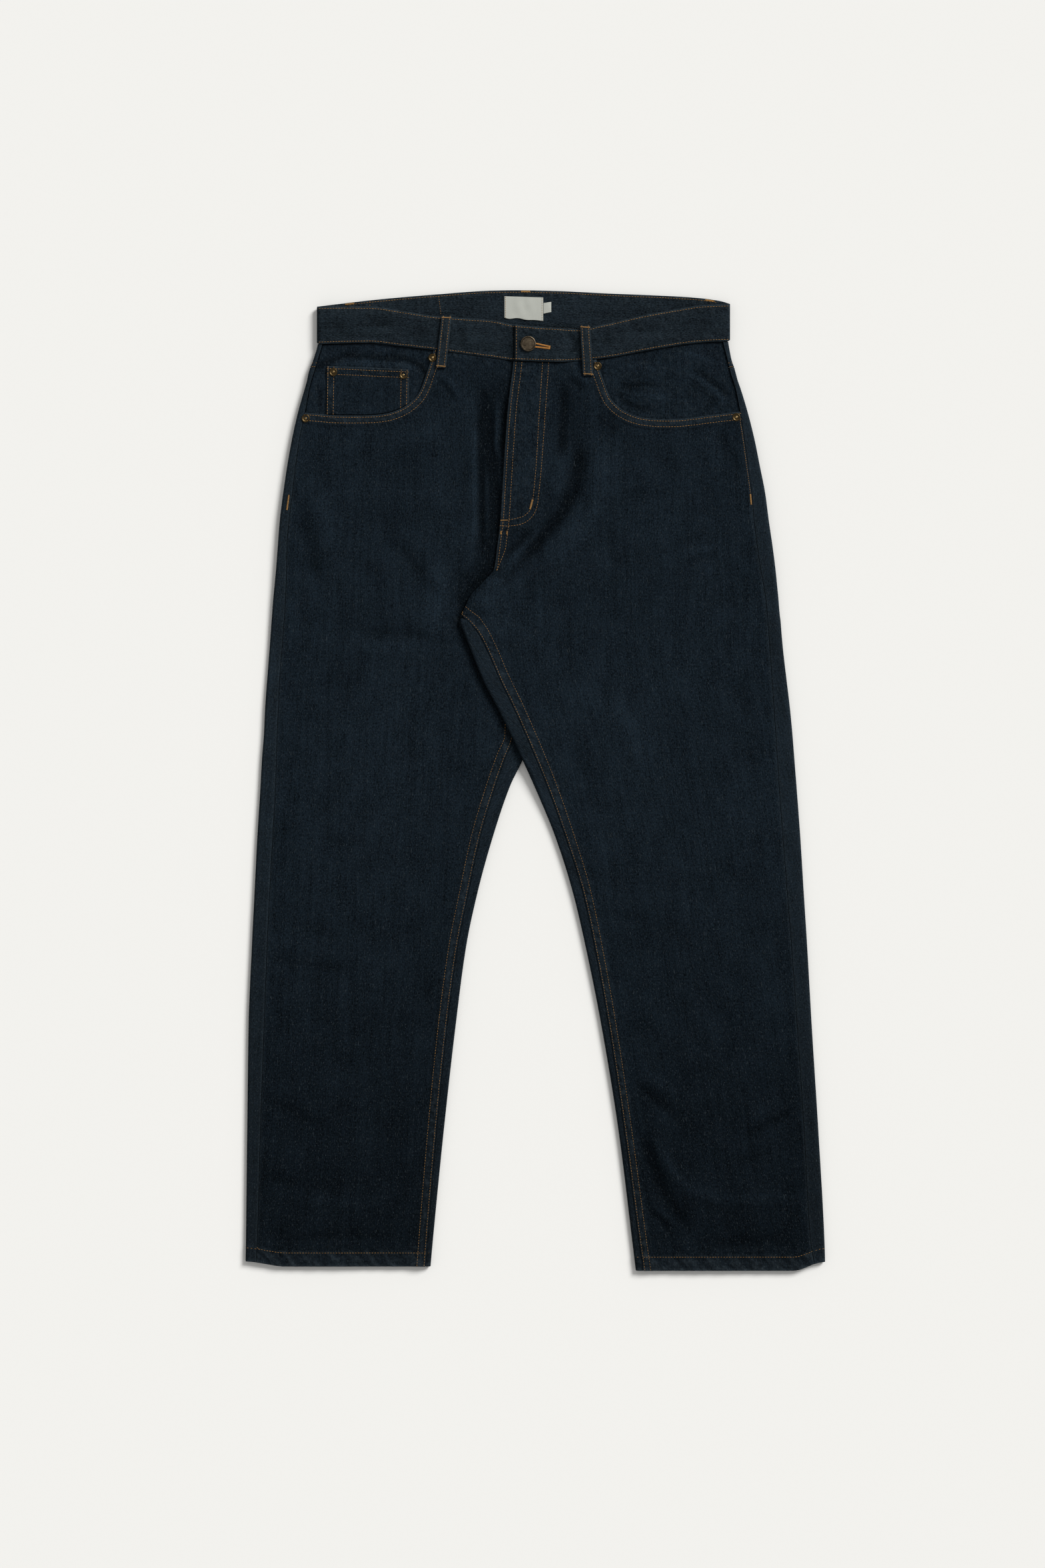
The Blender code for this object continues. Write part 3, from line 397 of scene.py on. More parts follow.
@dataclass(frozen=True)
class LaidForm:
    """Seam lines and heights of the jeans as they lie; every cloth piece takes its points here."""

    cloth: float = 1.3
    hem_cloth: float = 2.2
    hem_height: float = 16.8
    hem_step: float = 0.8
    seam_gap: float = 0.35
    layer_gap: float = 0.35
    facing_drop: float = 0.65
    least_hollow: float = 0.35
    seat_lift: float = 1.55
    tube_leg: float = 5.6
    tube_hip: float = 6.4
    tube_lapped: float = 4.2
    ramp_under: float = 14.0
    ramp_top: float = 60.0
    crotch_y: float = 179.0
    plain_top_y: float = 376.0
    fly_bottom_y: float = 272.0
    fly_width: float = 44.0
    fly_corner: float = 18.0
    fly_lift: float = 1.2
    fly_lap: float = 2.5

    def outer_edge(self, side: Side, y: Array) -> Array:
        """Outline of the hip and leg, with the small bulge of the yoke seam."""
        bulge = side.value * 1.3 * bell(y - 446.0, 7.0)
        hip = HIP.read("outer_" + side.word, y) + bulge
        return np.where(y >= self.crotch_y, hip, LEGS[side].read("outer", y))

    def outseam(self, side: Side, y: Array) -> Array:
        """Side seam, a little way in on the upper face."""
        hip = HIP.read("outseam_" + side.word, y)
        return np.where(y >= self.crotch_y, hip, LEGS[side].read("outseam", y))

    def back_end(self, side: Side, y: Array) -> Array:
        """Where the underside ends: the centre back seam, or below the crotch the inner fold."""
        hip = HIP.read("centre_back", y) + side.value * self.seam_gap / 2
        return np.where(y >= self.crotch_y, hip, LEGS[side].read("inner", y))

    def front_start(self, side: Side, y: Array) -> Array:
        """Inner edge of a front: the rise seam, or below the crotch the inseam."""
        leg = LEGS[side].read("inseam", y) + side.value * self.seam_gap / 2
        lap = self.fly_lap * ease((y - 202.0) / 12.0) if side is RIGHT else 0.0 * y
        clearance = np.where(lap == 0.0, self.seam_gap, 0.0) if side is RIGHT else 0.0
        return np.where(y < self.crotch_y, leg, HIP.read("rise", y) + lap - clearance)

    def leg_centre(self, side: Side, y: Array) -> Array:
        """Line of the grain down a leg: straight at the hip, then slanting with the leg."""
        slant = 0.17 if side is LEFT else -0.05
        down = np.maximum(170.0 - y, 0.0)
        return side.value * 125.0 + slant * down * ease(down / 120.0)

    def lap(self, x: Array, y: Array, ramp: float) -> Array:
        """Lift of the left leg over the right one: 1 on it, 0 past the ramp."""
        fade = np.where(y <= self.crotch_y, 1.0, ease((206.0 - y) / 27.0))
        return fade * ease((self.back_end(RIGHT, y) + 1.0 + ramp - x) / ramp)

    def underside(self, side: Side, x: Array, y: Array) -> Array:
        """Height of the lowest face above the surface."""
        seat = self.seat_lift * ease((y - 206.0) / 24.0)
        if side is RIGHT:
            return seat + 0.0 * x
        lifted = self.tube_lapped + self.layer_gap
        return np.maximum(seat, lifted * self.lap(x, y, self.ramp_under))

    def lapped(self, x: Array, y: Array) -> Array:
        """1 where the right leg lies below the left leg, easing to 0 before its edge."""
        fade = np.where(y <= self.crotch_y + 4.0, 1.0, ease((196.0 - y) / 13.0))
        return fade * ease((x - self.back_end(LEFT, y) + 16.0) / 8.0)

    def hem_level(self, side: Side) -> float:
        """Height on the page of a leg's lower edge."""
        return -529.2 if side is RIGHT else -533.8

    def plain_bottom(self, side: Side) -> float:
        """Where the even rows of a leg begin, above those that follow the hem."""
        return -488.0 if side is RIGHT else -490.0

    def hem_line(self, side: Side, x: Array) -> Array:
        """Lower edge of a leg, which lifts a little at its outer corner."""
        level = self.hem_level(side)
        reach, lift = (45.0, 5.5) if side is RIGHT else (36.0, 9.5)
        from_edge = np.abs(self.outer_edge(side, np.float64(level)) - x)
        return level + lift * ease((reach - from_edge) / reach)

    def above_hem(self, side: Side, x: Array, y: Array) -> Array:
        """Height up the leg from its hem."""
        return y - self.hem_line(side, x)

    def in_hem(self, side: Side, x: Array, y: Array) -> Array:
        """1 on the turned-up hem, 0 above it."""
        return ease((self.hem_height - self.above_hem(side, x, y)) / 1.6 + 0.5)

    def on_fly(self, x: Array, y: Array) -> Array:
        """1 on the fly facing: a strip beside the rise with a rounded lower corner."""
        corner = self.fly_corner
        right = x - (HIP.read("rise", y) + self.fly_width - corner)
        down = self.fly_bottom_y + corner - y
        outside = np.hypot(np.maximum(right, 0), np.maximum(down, 0)) - corner
        inside = np.minimum(np.maximum(right, down) - corner, 0.0)
        return ease(0.5 - np.where((right > 0) | (down > 0), outside, inside) / 4.0)

    def relief(self, side: Side, x: Array, y: Array) -> Array:
        """Creases and shallow swells of a front, dying away at the leg's outer edge."""
        total = sum(fold.heights(x, y) for fold in FOLDS[side])
        calm = 1.0 - 0.6 * ease((y - 430.0) / 30.0)
        total = total + 0.34 * calm * ripple(x, y, 95.0, 11 + side.value)
        total = total + 0.16 * calm * ripple(x * 1.4, y, 34.0, 23 + side.value)
        return total * ease((np.abs(self.outer_edge(side, y) - x) - 5.0) / 14.0)

    def upper_face(self, side: Side, x: Array, y: Array) -> Array:
        """Height of the uppermost face: the tube's depth, the lap, the fly and the folds.

        Args:
            side: The wearer's side.
            x: Places across.
            y: Places along.

        Returns:
            Heights in millimetres.
        """
        x, y = np.broadcast_arrays(np.asarray(x, float), np.asarray(y, float))
        depth = mix(self.tube_leg, self.tube_hip, ease((y - 120.0) / 160.0))
        seat = self.seat_lift * ease((y - 120.0) / 170.0)
        hem = self.hem_step * self.in_hem(side, x, y)
        relief = self.relief(side, x, y)
        lowest = self.underside(side, x, y) + 2 * self.cloth + self.least_hollow
        if side is RIGHT:
            covered = self.lapped(x, y)
            depth = mix(seat + depth, self.tube_lapped, covered)
            relief = relief * (1.0 - covered)
            tuck = ease((x - HIP.read("rise", y) + 10.0) / 7.0) * ease((y - 186.0) / 14.0)
            relief = relief - np.where(y >= self.crotch_y, 1.3 * tuck, 0.0)
            inner = ease((self.back_end(RIGHT, y) - x - 5.0) / 12.0)
            relief = relief * np.where(y < 22.0, inner, 1.0)
            return hem + np.maximum(depth + relief, lowest)
        rise = np.maximum(seat, (self.tube_lapped + self.layer_gap) * self.lap(x, y, self.ramp_top))
        inner = ease((x - self.back_end(LEFT, y) - 5.0) / 12.0)
        relief = relief * np.where(y < self.crotch_y, inner, 1.0)
        relief = relief + np.where(y >= self.crotch_y, self.fly_lift * self.on_fly(x, y), 0.0)
        return np.maximum(rise + depth + relief, lowest) + hem


FORM = LaidForm()


# ---- cloth meshes ----

class Channel(Enum):
    """What a cloth grid holds at each point, as columns of one array."""

    PLACE = slice(0, 3)
    GRAIN = slice(3, 5)
    WALL = 5
    DROP = 6


Painter = Callable[[Array], dict[str, Array]]


@dataclass
class ClothSheet:
    """One cut piece of cloth: a grid of points on its outer face, thickened into a closed wall.

    Columns run away from the body's middle and turn says on which side the outer face lies.
    """

    name: str
    points: Array
    turn: int
    wall: Array | float = FORM.cloth
    grain_start: Array | float = 0.0
    grain_along_columns: bool = False
    edge_radius: float = 0.45
    paint: Painter | None = None
    ply: int = 0
    merge: bool = False

    def grid(self) -> Array:
        """Stack places, grain and wall thickness, with the borders rolled over."""
        rows, columns = self.points.shape[:2]
        steps = np.hypot(np.diff(self.points[..., 0], axis=1), np.diff(self.points[..., 2], axis=1))
        run = np.concatenate([np.zeros((rows, 1)), np.cumsum(steps, axis=1)], axis=1)
        start = np.broadcast_to(self.grain_start, (rows, 1)) if np.ndim(self.grain_start) else \
            np.full((rows, 1), float(self.grain_start))
        across = self.points[:, :1, 0] - start + self.turn * run
        along = self.points[..., 1]
        grain = (along, across) if self.grain_along_columns else (across, along)
        wall = np.broadcast_to(self.wall, (rows, columns))
        stack = np.dstack([self.points, *grain, wall, np.zeros((rows, columns))])
        return self.roll(self.roll(stack, 1), 0)

    def roll(self, stack: Array, axis: int) -> Array:
        """Add two lines of points at both borders, so that the edge is round and not square."""
        radius = min(self.edge_radius, 0.45 * float(np.min(self.wall)))
        lines = np.moveaxis(stack, axis, 0)
        drops = np.array([1.0, 0.29, 0.0]) * radius

        def border(edge: Array, inside: Array) -> list[Array]:
            """Three close rows at an edge, dropping to make it round."""
            gap = np.linalg.norm(inside[:, :3] - edge[:, :3], axis=1)[:, None]
            reach = np.minimum(0.45, radius / np.maximum(gap, 1e-6))
            rings = [mix(edge, inside, reach * share) for share in (0.0, 0.29, 1.0)]
            for ring, drop in zip(rings, drops):
                ring[:, Channel.DROP.value] = np.maximum(ring[:, Channel.DROP.value], drop)
            return rings

        first, last = border(lines[0], lines[1]), border(lines[-1], lines[-2])
        return np.moveaxis(np.stack([*first, *lines[1:-1], *last[::-1]]), 0, axis)

    def normals(self, places: Array) -> Array:
        """Outward normals of a grid; where columns collapse, the last good direction is kept."""
        across = np.gradient(places, axis=1)
        along = np.gradient(places, axis=0)
        size = np.linalg.norm(across, axis=2)
        for column in range(1, places.shape[1]):
            weak = size[:, column] < 1e-3
            across[weak, column] = across[weak, column - 1]
        normal = self.turn * np.cross(across, along)
        return normal / np.maximum(np.linalg.norm(normal, axis=2, keepdims=True), 1e-9)

    def build(self, material: Material) -> Object:
        """Make the closed wall as an object at the origin.

        Args:
            material: The cloth's finish.

        Returns:
            The object, with a grain UV map and the attributes that the finish reads.
        """
        stack = self.grid()
        places = stack[..., Channel.PLACE.value]
        normal = self.normals(places)
        wall, drop = stack[..., Channel.WALL.value, None], stack[..., Channel.DROP.value, None]
        outer, inner = places - normal * drop, places - normal * wall
        rows, columns = places.shape[:2]
        vertices = np.concatenate([outer.reshape(-1, 3), inner.reshape(-1, 3)]) * MM
        faces = self.faces(rows, columns)
        mesh = bpy.data.meshes.new(self.name)
        mesh.from_pydata(vertices.tolist(), [], faces.tolist())
        self.write_grain(mesh, stack[..., Channel.GRAIN.value].reshape(-1, 2))
        painted = self.paint(places) if self.paint else {}
        # Wear, puckers and the painted shade that the finish reads.
        for name in ("wear", "pucker", "hollow"):
            values = np.broadcast_to(painted.get(name, 0.0), (rows, columns)).ravel()
            layer = mesh.attributes.new(name, "FLOAT", "POINT")
            layer.data.foreach_set("value", np.tile(values, 2).astype(np.float32))
        if self.merge:
            weld(mesh)
        turn_outwards(mesh)
        mesh.materials.append(material)
        mesh.shade_smooth()
        return place_mesh(self.name, mesh)

    @staticmethod
    def faces(rows: int, columns: int) -> Array:
        """Quads of both faces and of the four rims."""
        index = np.arange(rows * columns).reshape(rows, columns)
        under = index + rows * columns

        def quads(a: Array, b: Array, c: Array, d: Array) -> Array:
            """Faces between four sets of corners."""
            return as_points(a.ravel(), b.ravel(), c.ravel(), d.ravel())

        return np.concatenate([
            quads(index[:-1, :-1], index[:-1, 1:], index[1:, 1:], index[1:, :-1]),
            quads(under[:-1, :-1], under[1:, :-1], under[1:, 1:], under[:-1, 1:]),
            quads(index[:-1, 0], index[1:, 0], under[1:, 0], under[:-1, 0]),
            quads(index[1:, -1], index[:-1, -1], under[:-1, -1], under[1:, -1]),
            quads(index[0, 1:], index[0, :-1], under[0, :-1], under[0, 1:]),
            quads(index[-1, :-1], index[-1, 1:], under[-1, 1:], under[-1, :-1])])

    def write_grain(self, mesh: Mesh, grain: Array) -> None:
        """Store the cloth's own directions as a UV map, in metres; each piece has its own place."""
        shift = np.array([173.0, 311.0]) * self.ply
        corners = np.empty(len(mesh.loops), np.int32)
        mesh.loops.foreach_get("vertex_index", corners)
        layer = mesh.uv_layers.new(name="grain")
        both = np.concatenate([grain, grain]) + shift
        layer.data.foreach_set("uv", (both[corners] * MM).astype(np.float32).ravel())


def weld(mesh: Mesh) -> None:
    """Merge points that lie on each other, where columns collapse to one line."""
    work = bmesh.new()
    work.from_mesh(mesh)
    bmesh.ops.remove_doubles(work, verts=work.verts, dist=0.002 * MM)
    work.to_mesh(mesh)
    work.free()


def turn_outwards(mesh: Mesh) -> None:
    """Flip every face of a closed mesh that is inside out."""
    work = bmesh.new()
    work.from_mesh(mesh)
    if work.calc_volume(signed=True) < 0:
        bmesh.ops.reverse_faces(work, faces=work.faces)
        work.to_mesh(mesh)
    work.free()


def place_mesh(name: str, mesh: Mesh) -> Object:
    """Put a mesh into the scene as an object at the origin."""
    piece = bpy.data.objects.new(name, mesh)
    bpy.context.scene.collection.objects.link(piece)
    return piece


def join_cloth(cloth: Object, other: Object) -> None:
    """Make another cloth mesh part of a piece."""
    both = [cloth, other]
    with bpy.context.temp_override(object=cloth, active_object=cloth, selected_objects=both,
                                   selected_editable_objects=both):
        bpy.ops.object.join()


def keep(piece: Object, slot: str, *nodes: str) -> Object:
    """Let a finished piece ride on the jeans and stand for CAD nodes.

    Args:
        piece: The piece, in place.
        slot: Not used.
        nodes: The CAD nodes that it stands for.

    Returns:
        The piece.
    """
    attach(piece, "root")
    if nodes:
        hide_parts(*nodes)
    piece.data.calc_loop_triangles()
    LOG.info("%s: %d triangles", piece.name, len(piece.data.loop_triangles))
    return piece


def strip_cut(width: float, length: float) -> Cut:
    """The cut of a plain strip."""
    return width, length, width * length / 100 * 0.999


def finish_cloth(piece: Object, node: str, *rests_on: str, cut: Cut | None = None) -> Object:
    """Keep a piece of denim in place of its node.

    Args:
        piece: The cloth.
        node: The CAD node that it stands for.
        rests_on: Not used.
        cut: Not used.

    Returns:
        The piece.
    """
    keep(piece, "denim", node)
    return piece


# ---- fronts ----

@dataclass
class Front:
    """A front panel with its pocket opening cut away."""

    side: Side
    waist_columns: int = 40
    pocket_columns: int = 56
    row_step: float = 3.2
    top_rows: int = 28
    seam_strip: float = 11.0
    mouth_strip: float = 11.5

    def hem_rows(self) -> list[Callable[[Array], Array]]:
        """Rows near the hem, which follow its curve and then straighten."""
        level = FORM.hem_level(self.side)

        def row(up: float) -> Callable[[Array], Array]:
            """The row at a height above the hem, as y for each x."""
            fall = 1.0 - ease((up - FORM.hem_height) / 22.0)
            return lambda x: level + up + (FORM.hem_line(self.side, x) - level) * fall

        height = FORM.hem_height
        ups = [0, 2, 4, 6, 8, 10, 12, 14, height - 2, height - 0.8, height, height + 0.8,
               height + 2, height + 4.5, height + 7, height + 10, height + 13, height + 16,
               height + 19]
        return [row(up) for up in ups]

    def levels(self) -> list[Callable[[Array], Array]]:
        """Every plain row as a function from x to y, from the hem upwards."""
        start = FORM.plain_bottom(self.side)
        count = round((FORM.plain_top_y - start) / self.row_step)
        plain = [lambda x, y=y: y + 0.0 * x for y in np.linspace(start, FORM.plain_top_y, count)]
        return self.hem_rows() + plain

    def place(self, share: Array, y: Array) -> Array:
        """x at a share of the width."""
        end = FORM.outseam(self.side, y) - self.side.value * FORM.seam_gap / 2
        return mix(FORM.front_start(self.side, y), end, share)

    def top_edge(self) -> Array:
        """Upper edge: along the waistband seam, then round the pocket opening."""
        corner = POCKET_EDGES[self.side][0][0]
        start = FORM.front_start(self.side, BAND.read("front_bottom", corner) - 8.0)
        waist_x = np.linspace(start, corner, self.waist_columns, endpoint=False)
        waist = as_points(waist_x, BAND.read("front_bottom", waist_x) - FORM.seam_gap)
        pocket = smooth_path(POCKET_EDGES[self.side], self.pocket_columns)
        pocket[0, 1] = BAND.read("front_bottom", pocket[0, 0]) - FORM.seam_gap
        low_y = pocket[-1, 1]
        pocket[-1, 0] = FORM.outseam(self.side, low_y) - self.side.value * FORM.seam_gap / 2
        return np.vstack([waist, pocket])

    def flat_grid(self) -> tuple[Array, Array]:
        """x and y of every point."""
        edge = self.top_edge()
        shares = (np.arange(len(edge)) / (len(edge) - 1)) ** 1.25
        xs, ys = [], []
        for level in self.levels():
            x = self.place(shares, level(np.zeros(len(shares))))
            y = level(x)
            xs.append(self.place(shares, y))
            ys.append(y)
        top = np.full(len(shares), FORM.plain_top_y)
        plain_x = self.place(shares, top)
        for blend in unit_steps(self.top_rows + 1)[1:]:
            x, y = mix(plain_x, edge[:, 0], blend), mix(top, edge[:, 1], blend)
            shift = FORM.front_start(self.side, y[0]) - x[0]
            xs.append(x + shift * (1.0 - shares) ** 3)
            ys.append(y)
        return np.array(xs), np.array(ys)

    def seam_relief(self, x: Array, y: Array) -> Array:
        """Raised strips where allowances lie below: inseam, rise, pocket mouth and waist."""
        side = self.side
        from_inseam = side.value * (x - LEGS[side].read("inseam", y))
        strip = ease((self.seam_strip - from_inseam) / 2.2 + 0.5) * (y < FORM.crotch_y)
        mouth = along_path(x, y, POCKET_LINES[side])[0]
        lip = ease((self.mouth_strip - mouth) / 2.0 + 0.5)
        groove = bell(mouth - 5.2, 1.6) + bell(from_inseam - 5.6, 1.6) * (y < FORM.crotch_y)
        height = 0.75 * strip * ease((178.0 - y) / 12.0) + 0.75 * lip + 0.1 * groove
        height = height + 0.22 * self.roping(x, y)
        return height * (1.0 - (FORM.lapped(x, y) if side is RIGHT else 0.0))

    def build_crotch_end(self, material: Material) -> Object:
        """Make the turned-down end of the rise seam, which closes the crotch below the edge."""
        y = np.linspace(FORM.crotch_y - 0.6, 204.0, 26)
        x = HIP.read("rise", y) + 0.35
        top = FORM.upper_face(LEFT, x + 0.6, y) - 0.6
        foot = np.minimum(FORM.upper_face(RIGHT, x - 1.0, y) - 0.9, top - 0.8)
        rows = [as_points(np.full(8, a), np.full(8, b), np.linspace(high, low, 8))
                for a, b, high, low in zip(x, y, top, foot)]
        return ClothSheet("crotch_end", np.array(rows), -1, 0.8, edge_radius=0.3, ply=47).build(material)

    def roping(self, x: Array, y: Array) -> Array:
        """Slanting waves of the turned-up hem, uneven along it."""
        slant = x + 0.9 * FORM.above_hem(self.side, x, y) + 5.0 * ripple(x, y, 70.0, 61 + self.side.value)
        wave = np.sin(2 * math.pi * slant / 22.0) + 0.5 * np.sin(2 * math.pi * slant / 9.0)
        return wave * FORM.in_hem(self.side, x, y)

    def paint(self, places: Array) -> dict[str, Array]:
        """Wear on edges and strips, puckers along the stitching, and painted shade: darker in the fold
        troughs, lighter on the ridges, with painted shadows along the low rise seam, beside the fly's edge
        and beside the left leg's edge.
        """
        x, y = places[..., 0], places[..., 1]
        side = self.side
        up = FORM.above_hem(side, x, y)
        mouth = along_path(x, y, POCKET_LINES[side])[0]
        from_inseam = side.value * (x - LEGS[side].read("inseam", y))
        below = y < FORM.crotch_y
        from_seam = side.value * (FORM.outseam(side, y) - x)
        rise_wear = decay(np.abs(x - HIP.read("rise", y)), 1.4) * (y > 230.0) * (side is LEFT)
        wear = (0.9 * decay(mouth, 1.3) + 0.8 * decay(up, 1.6) + 0.7 * rise_wear
                + 0.35 * decay(from_inseam, 1.2) * below + 0.35 * decay(from_seam, 1.0)
                + 0.16 * bell(mouth - 5.0, 2.4)
                + 0.14 * bell(up - 8.0, 5.0)
                + 0.2 * np.maximum(self.roping(x, y), 0.0)
                + 0.16 * bell(from_inseam - 5.6, 2.2) * below)
        band = BAND.read("front_bottom", x) - y
        near_fly = FORM.on_fly(x, y) * (side is LEFT) * (y >= FORM.crotch_y)
        pucker = (bell(mouth - 5.0, 6.0) + bell(up, 20.0)
                  + bell(from_inseam - 5.0, 7.0) * below
                  + 0.7 * bell(band, 14.0) + 0.6 * near_fly)
        # Painted shade: darker in the troughs of the folds, lighter on their ridges.
        depth = -FORM.relief(side, x, y) / 2.7
        from_rise = np.abs(x - HIP.read("rise", y))
        low_rise = ease((262.0 - y) / 20.0) * ~below
        # Painted shadow along the low rise seam, in the crotch valley.
        depth = depth + 0.75 * low_rise * bell(from_rise, 7.0)
        if side is RIGHT:
            # Painted shadow on the right front along the fly's edge.
            beside_fly = ease((y - 240.0) / 20.0) * mix(0.15, 0.7, ease((y - 345.0) / 40.0))
            depth = depth + beside_fly * decay(from_rise, 4.0)
            # Painted shadow on the right leg beside the inner edge of the left leg, which lies over it.
            depth = depth + 1.0 * decay(np.abs(x - LEGS[LEFT].read("inner", y)), 7.0) * below
        return {"wear": np.clip(wear, 0, 1), "pucker": np.clip(pucker, 0, 1),
                "hollow": np.clip(depth, -0.45, 1.2)}

    def build(self, material: Material) -> Object:
        """Make the panel as cloth."""
        x, y = self.flat_grid()
        z = FORM.upper_face(self.side, x, y) + self.seam_relief(x, y)
        wall = mix(FORM.cloth, FORM.hem_cloth, FORM.in_hem(self.side, x, y))
        name = "front_panel_" + self.side.word
        sheet = ClothSheet(name, np.dstack([x, y, z]), self.side.value, wall,
                           FORM.leg_centre(self.side, y[:, :1]), paint=self.paint,
                           ply=2 + self.side.value)
        cloth = sheet.build(material)
        if self.side is LEFT:
            join_cloth(cloth, self.build_crotch_end(material))
        return finish_cloth(cloth, "front_" + self.side.word, "back_panel_" + self.side.word)


# ---- backs, yokes and seat pockets ----

@dataclass
class Back:
    """A back panel and its yoke: they wrap round both edges of the leg to the seams on top."""

    side: Side
    strip: int = 6
    arc: int = 9
    floor: int = 26
    row_step: float = 5.0

    def yoke_line(self, x: Array) -> Array:
        """Seam between yoke and back, lowest at the centre back."""
        return 425.0 + 24.5 * ease(np.abs(x + 13.0) / 235.0)

    def wrap(self, y: Array, edge: Array, seam: Array, away: int) -> list[tuple[Array, Array]]:
        """Outer-face places from a seam on the upper face, over the fold, to the underside.

        Args:
            y: Heights up the leg.
            edge: x of the fold.
            seam: x of the seam.
            away: +1 where the fold faces +X and -1 where it faces -X.

        Returns:
            (x, z) of each column.
        """
        low = FORM.underside(self.side, edge, y)
        radius = (FORM.upper_face(self.side, edge, y) - low) / 2
        centre = edge - away * radius
        columns = []
        for share in np.arange(self.strip) / self.strip:
            x = mix(seam, centre, share)
            columns.append((x, FORM.upper_face(self.side, x, y)))
        for turn in np.linspace(0.0, math.pi, self.arc):
            columns.append((centre + away * radius * math.sin(turn), low + radius * (1 + math.cos(turn))))
        return columns

    def floor_shares(self, y: Array, begin: Array, end: Array) -> list[Array]:
        """Places across the underside, gathered on the left leg where it rises onto the right."""
        if self.side is RIGHT:
            return [mix(begin, end, share) for share in np.arange(1, self.floor) / self.floor]
        start = FORM.back_end(RIGHT, y) + 1.0
        ramp = [start + FORM.ramp_under * share for share in np.linspace(1.1, -0.06, 8)]
        ramp = [np.maximum(x, mix(end, begin, 0.02 * (len(ramp) - i))) for i, x in enumerate(ramp)]
        plain = self.floor - 4 - len(ramp)
        return ([mix(begin, ramp[0], i / (plain + 1)) for i in range(1, plain + 1)] + ramp
                + [mix(ramp[-1], end, i / 4) for i in range(1, 4)])

    def section(self, y: Array) -> tuple[Array, Array]:
        """Outer-face section at heights y, one column of heights for each point across.

        Args:
            y: Heights, with shape (rows, columns).

        Returns:
            x and z with the same shape.
        """
        side = self.side

        def whole(rows: Array) -> list[tuple[Array, Array]]:
            """The path of a back all round, from its seam on one side to that on the other."""
            seam = FORM.outseam(side, rows) + side.value * FORM.seam_gap / 2
            path = self.wrap(rows, FORM.outer_edge(side, rows), seam, side.value)
            end = FORM.back_end(side, rows)
            inseam = LEGS[side].read("inseam", rows) - side.value * FORM.seam_gap / 2
            inner = self.wrap(rows, end, inseam, -side.value)[::-1]
            flat_end = FORM.underside(side, end, rows)
            hip = rows >= FORM.crotch_y
            inner = [(np.where(hip, end, x), np.where(hip, flat_end, z)) for x, z in inner]
            floor = self.floor_shares(rows, path[-1][0], inner[0][0])
            return path + [(x, FORM.underside(side, x, rows)) for x in floor] + inner

        if y.ndim == 1:
            columns = whole(y)
            return np.stack([c[0] for c in columns], 1), np.stack([c[1] for c in columns], 1)
        places = [whole(y[:, c])[c] for c in range(y.shape[1])]
        return np.stack([p[0] for p in places], 1), np.stack([p[1] for p in places], 1)

    def flat_rows(self) -> Array:
        """y of every point of the back."""
        front = Front(self.side)
        hems = front.hem_rows()
        probe = np.zeros(1)
        start_x, _ = self.section(np.array([float(level(probe)[0]) for level in hems]))
        low = np.array([level(x) for level, x in zip(hems, start_x)])
        start = FORM.plain_bottom(self.side)
        plain = np.linspace(start, FORM.plain_top_y, round((FORM.plain_top_y - start) / self.row_step))
        columns = low.shape[1]
        seam_x, _ = self.section(np.array([440.0]))
        top = self.yoke_line(seam_x) - FORM.seam_gap
        rise = [mix(FORM.plain_top_y, top[0], share) for share in np.linspace(0.1, 1.0, 10)]
        return np.vstack([low, np.repeat(plain[:, None], columns, 1), rise])

    def paint(self, places: Array) -> dict[str, Array]:
        """Wear along the seams and hem, and a lighter tone over the strip that shows on top, most near the
        outer edge.
        """
        x, y, z = places[..., 0], places[..., 1], places[..., 2]
        from_seam = np.abs(x - FORM.outseam(self.side, y))
        up = FORM.above_hem(self.side, x, y)
        edge = np.abs(FORM.outer_edge(self.side, y) - x)
        on_top = ease((z - 3.0) / 2.0)
        # The strip on top is lighter overall, and more so near the outer edge.
        wear = (0.32 * decay(from_seam, 1.2) + 0.8 * decay(up, 1.6)
                + 0.2 * decay(edge, 4.0) + 0.12) * on_top
        return {"wear": np.clip(wear, 0, 1), "pucker": 0.8 * bell(up, 20.0)}

    def build(self, material: Material) -> Object:
        """Make the back panel as cloth."""
        y = self.flat_rows()
        x, z = self.section(y)
        wall = mix(FORM.cloth, FORM.hem_cloth, FORM.in_hem(self.side, x, y))
        sheet = ClothSheet("back_panel_" + self.side.word, np.dstack([x, y, z]), self.side.value,
                           wall, FORM.leg_centre(self.side, y[:, :1]), paint=self.paint,
                           ply=7 + self.side.value, merge=True)
        return finish_cloth(sheet.build(material), "back_" + self.side.word,
                            "seat_pocket_" + self.side.word)

    def build_yoke(self, material: Material) -> Object:
        """Make the shaped piece between the back and the waistband, round the side."""
        probe, _ = self.section(np.array([460.0]))
        seam_x, _ = self.section(np.array([440.0]))
        count = probe.shape[1]
        front = BAND.read("front_bottom", probe[0])
        back = BAND.read("back_top", probe[0]) - Waistband.height
        under = ease((np.arange(count) - self.strip) / (self.arc - 1))
        high = mix(front, back, under) - FORM.seam_gap
        seam = self.yoke_line(seam_x[0])
        y = np.stack([mix(seam, high, share) for share in unit_steps(12)])
        x, z = self.section(y)
        sheet = ClothSheet("yoke_panel_" + self.side.word, np.dstack([x, y, z]), self.side.value,
                           FORM.cloth, self.side.value * 125.0, paint=self.paint,
                           ply=12 + self.side.value, merge=True)
        return finish_cloth(sheet.build(material), "yoke_" + self.side.word, "back_panel_" + self.side.word)

